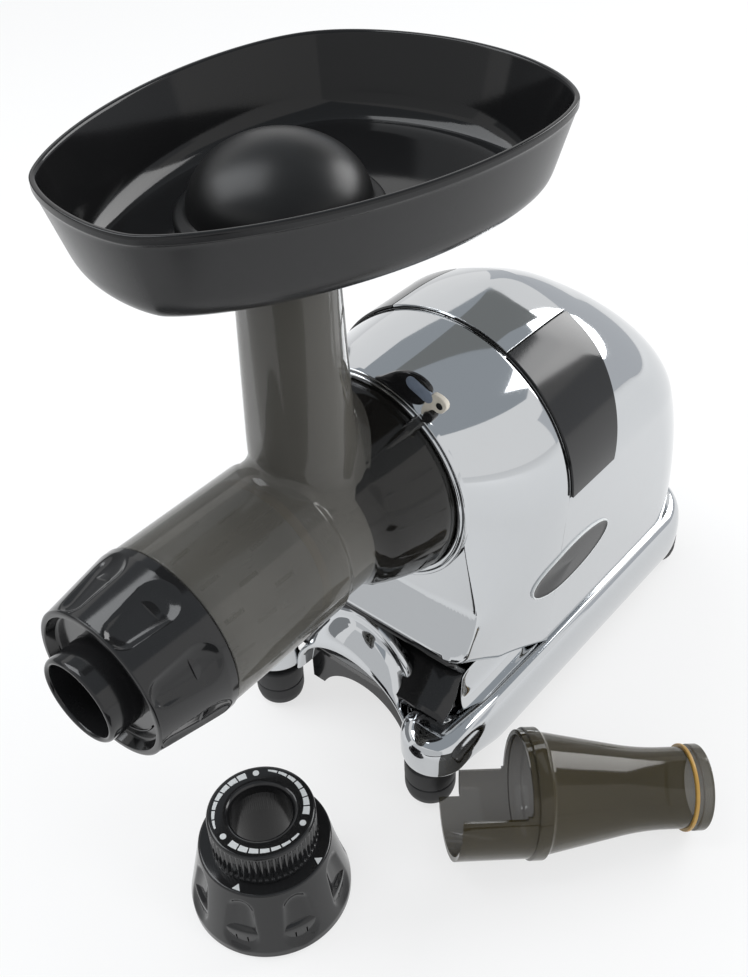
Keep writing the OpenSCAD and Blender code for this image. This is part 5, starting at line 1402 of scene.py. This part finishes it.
def make_stage():
    """Camera, floor, world, the cards that reflections show, and three lamps."""
    make_camera()
    bpy.context.scene.view_settings.view_transform = "Standard"
    f = Finish(bpy.data.materials.new("floor"))
    grain = f.noise(3.0, 2.0)
    pale = f.mix(grain, tint("floor"), times(tint("floor"), 0.98))
    matt = f.node("ShaderNodeBsdfDiffuse", None, {"Color": pale})
    glow = f.node("ShaderNodeEmission", None, {"Color": (1.0, 1.0, 1.0, 1.0), "Strength": 1.0})
    both = f.node("ShaderNodeMixShader", None, {0: f.seen() * FLOOR_GLOW, 1: matt.value(), 2: glow.value()})
    f.node("ShaderNodeOutputMaterial", None, {"Surface": both.value()})
    plane("floor", [(x * FLOOR_HALF, y * FLOOR_HALF, 0) for x, y in ((-1, -1), (1, -1), (1, 1), (-1, 1))], f.owner)

    world = bpy.data.worlds.new("studio")
    bpy.context.scene.world = world
    w = Finish(world)
    shade = w.mix(w.seen(), (0.57, 0.59, 0.61, 1.0), (1.0, 1.0, 1.0, 1.0))
    out = w.node("ShaderNodeBackground", None, {"Color": shade, "Strength": 1.0})
    w.node("ShaderNodeOutputWorld", None, {"Surface": out.value()})

    card("ceiling", (0.40, 0.43, 0.46), (-3, -3, 2.6), (3, -3, 2.6), (3, 3, 2.6), (-3, 3, 2.6))
    upright("wall_front", (0.72, 0.73, 0.74), (0.6, -3.0), 6.0, 0.0, 2.2)
    upright("wall_left", (0.30, 0.31, 0.32), (-3.0, -0.3), 5.0, 0.0, 1.6)
    upright("wall_rear", (0.62, 0.64, 0.67), (0.4, 3.0), 6.0, 0.0, 1.5)
    card("dark_screen", (0.24, 0.25, 0.25),
         (-0.75, 1.3, 1.3), (0.0, 1.45, 1.25), (0.1, 1.2, 1.6), (-0.7, 0.95, 1.75))
    card("dark_board", (0.03, 0.03, 0.03), (0.1, -0.95, 0.004), (0.75, -0.75, 0.004), (0.6, -0.32, 0.004),
         (0.14, -0.40, 0.004))

    lamp("window", (0.7, 2.2, 1.5), (0, 0, 0.2), (1.8, 1.2), 38.0)
    lamp("sky_panel", (-0.7, -0.5, 1.5), (0, -0.1, 0.2), (0.9, 1.2), 15.0, (0.96, 0.98, 1.0))
    lamp("side_panel", (1.5, 0.1, 0.8), (0, -0.1, 0.2), (0.5, 1.2), 6.5).visible_glossy = False


# ---------------------------------------------------------------- operators and panel


class Step:
    """What the juicer's operators share."""

    bl_options = {"REGISTER", "UNDO"}


class JUICER_OT_stage(Step, bpy.types.Operator):
    """Camera, floor, world and lamps"""

    bl_idname = "juicer.stage"
    bl_label = "Stage"

    def execute(self, context):
        make_stage()
        return {"FINISHED"}


class JUICER_OT_base(Step, bpy.types.Operator):
    """Chromed base with its legs, arch, hollow and feet"""

    bl_idname = "juicer.base"
    bl_label = "Base"

    def execute(self, context):
        make_base()
        make_recess()
        make_feet()
        return {"FINISHED"}


class JUICER_OT_housing(Step, bpy.types.Operator):
    """Front and rear shells with their joint"""

    bl_idname = "juicer.housing"
    bl_label = "Housing"

    def execute(self, context):
        make_front_shell()
        make_rear_shell()
        make_seam()
        return {"FINISHED"}


class JUICER_OT_band(Step, bpy.types.Operator):
    """Chromed band with its black inserts"""

    bl_idname = "juicer.band"
    bl_label = "Handle band"

    def execute(self, context):
        make_band()
        make_inserts()
        return {"FINISHED"}


class JUICER_OT_badge(Step, bpy.types.Operator):
    """Bare oval plate on the side"""

    bl_idname = "juicer.badge"
    bl_label = "Badge"

    def execute(self, context):
        make_badge()
        return {"FINISHED"}


class JUICER_OT_lock(Step, bpy.types.Operator):
    """Chromed socket rim and the chromed lock ring with its black tab"""

    bl_idname = "juicer.lock"
    bl_label = "Socket and lock"

    def execute(self, context):
        make_socket()
        make_lock()
        return {"FINISHED"}


class JUICER_OT_drum(Step, bpy.types.Operator):
    """Clear drum with its chute, spout and ribs"""

    bl_idname = "juicer.drum"
    bl_label = "Drum"

    def execute(self, context):
        make_drum()
        return {"FINISHED"}


class JUICER_OT_end_cap(Step, bpy.types.Operator):
    """Scooped cap with the pulp nozzle"""

    bl_idname = "juicer.end_cap"
    bl_label = "End cap"

    def execute(self, context):
        make_end_cap()
        return {"FINISHED"}


class JUICER_OT_tray(Step, bpy.types.Operator):
    """Feeding tray with its rim and collar"""

    bl_idname = "juicer.tray"
    bl_label = "Tray"

    def execute(self, context):
        make_tray()
        return {"FINISHED"}


class JUICER_OT_tamper(Step, bpy.types.Operator):
    """Domed tamper"""

    bl_idname = "juicer.tamper"
    bl_label = "Tamper"

    def execute(self, context):
        make_tamper()
        return {"FINISHED"}


class JUICER_OT_adjuster(Step, bpy.types.Operator):
    """Loose cap with its dial and scale"""

    bl_idname = "juicer.adjuster"
    bl_label = "Adjuster"

    def execute(self, context):
        make_adjuster()
        make_dial()
        return {"FINISHED"}


class JUICER_OT_blank(Step, bpy.types.Operator):
    """Loose blank cone with its seal"""

    bl_idname = "juicer.blank"
    bl_label = "Blank cone"

    def execute(self, context):
        make_blank()
        return {"FINISHED"}


class JUICER_OT_frame(Step, bpy.types.Operator):
    """Finishes for the frame nodes that stay"""

    bl_idname = "juicer.frame"
    bl_label = "Frame nodes"

    def execute(self, context):
        dress_frame()
        return {"FINISHED"}


STEPS = [
    JUICER_OT_stage, JUICER_OT_base, JUICER_OT_housing, JUICER_OT_band, JUICER_OT_badge, JUICER_OT_lock,
    JUICER_OT_drum, JUICER_OT_end_cap, JUICER_OT_tray, JUICER_OT_tamper, JUICER_OT_adjuster, JUICER_OT_blank,
    JUICER_OT_frame,
]


class JUICER_PT_panel(bpy.types.Panel):
    """Sizes, colours and the pieces of the juicer"""

    bl_idname = "JUICER_PT_panel"
    bl_label = "Juicer"
    bl_space_type = "VIEW_3D"
    bl_region_type = "UI"
    bl_category = "Juicer"

    def draw(self, context):
        for group in (context.scene.juicer_sizes, context.scene.juicer_colours):
            column = self.layout.column(align=True)
            for name in group.__annotations__:
                column.prop(group, name)
        for step in STEPS:
            self.layout.operator(step.bl_idname)


CLASSES = [JuicerSizes, JuicerColours, *STEPS, JUICER_PT_panel]


def register():
    """Make the panel, its operators and the sizes and colours known to Blender."""
    for made in CLASSES:
        bpy.utils.register_class(made)
    bpy.types.Scene.juicer_sizes = PointerProperty(type=JuicerSizes)
    bpy.types.Scene.juicer_colours = PointerProperty(type=JuicerColours)


def unregister():
    """Take them away again."""
    del bpy.types.Scene.juicer_sizes
    del bpy.types.Scene.juicer_colours
    for made in reversed(CLASSES):
        bpy.utils.unregister_class(made)


def plain(box):
    """The corners of a box as plain lists."""
    return [list(map(float, corner)) for corner in box]


def main():
    """Build every piece over the frame."""
    register()
    for step in STEPS:
        getattr(bpy.ops.juicer, step.bl_idname.split(".")[1])()
    bpy.context.view_layer.update()
    {"cad": plain(cad_box), "visual": plain(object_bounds())}


if __name__ == "__main__":
    main()
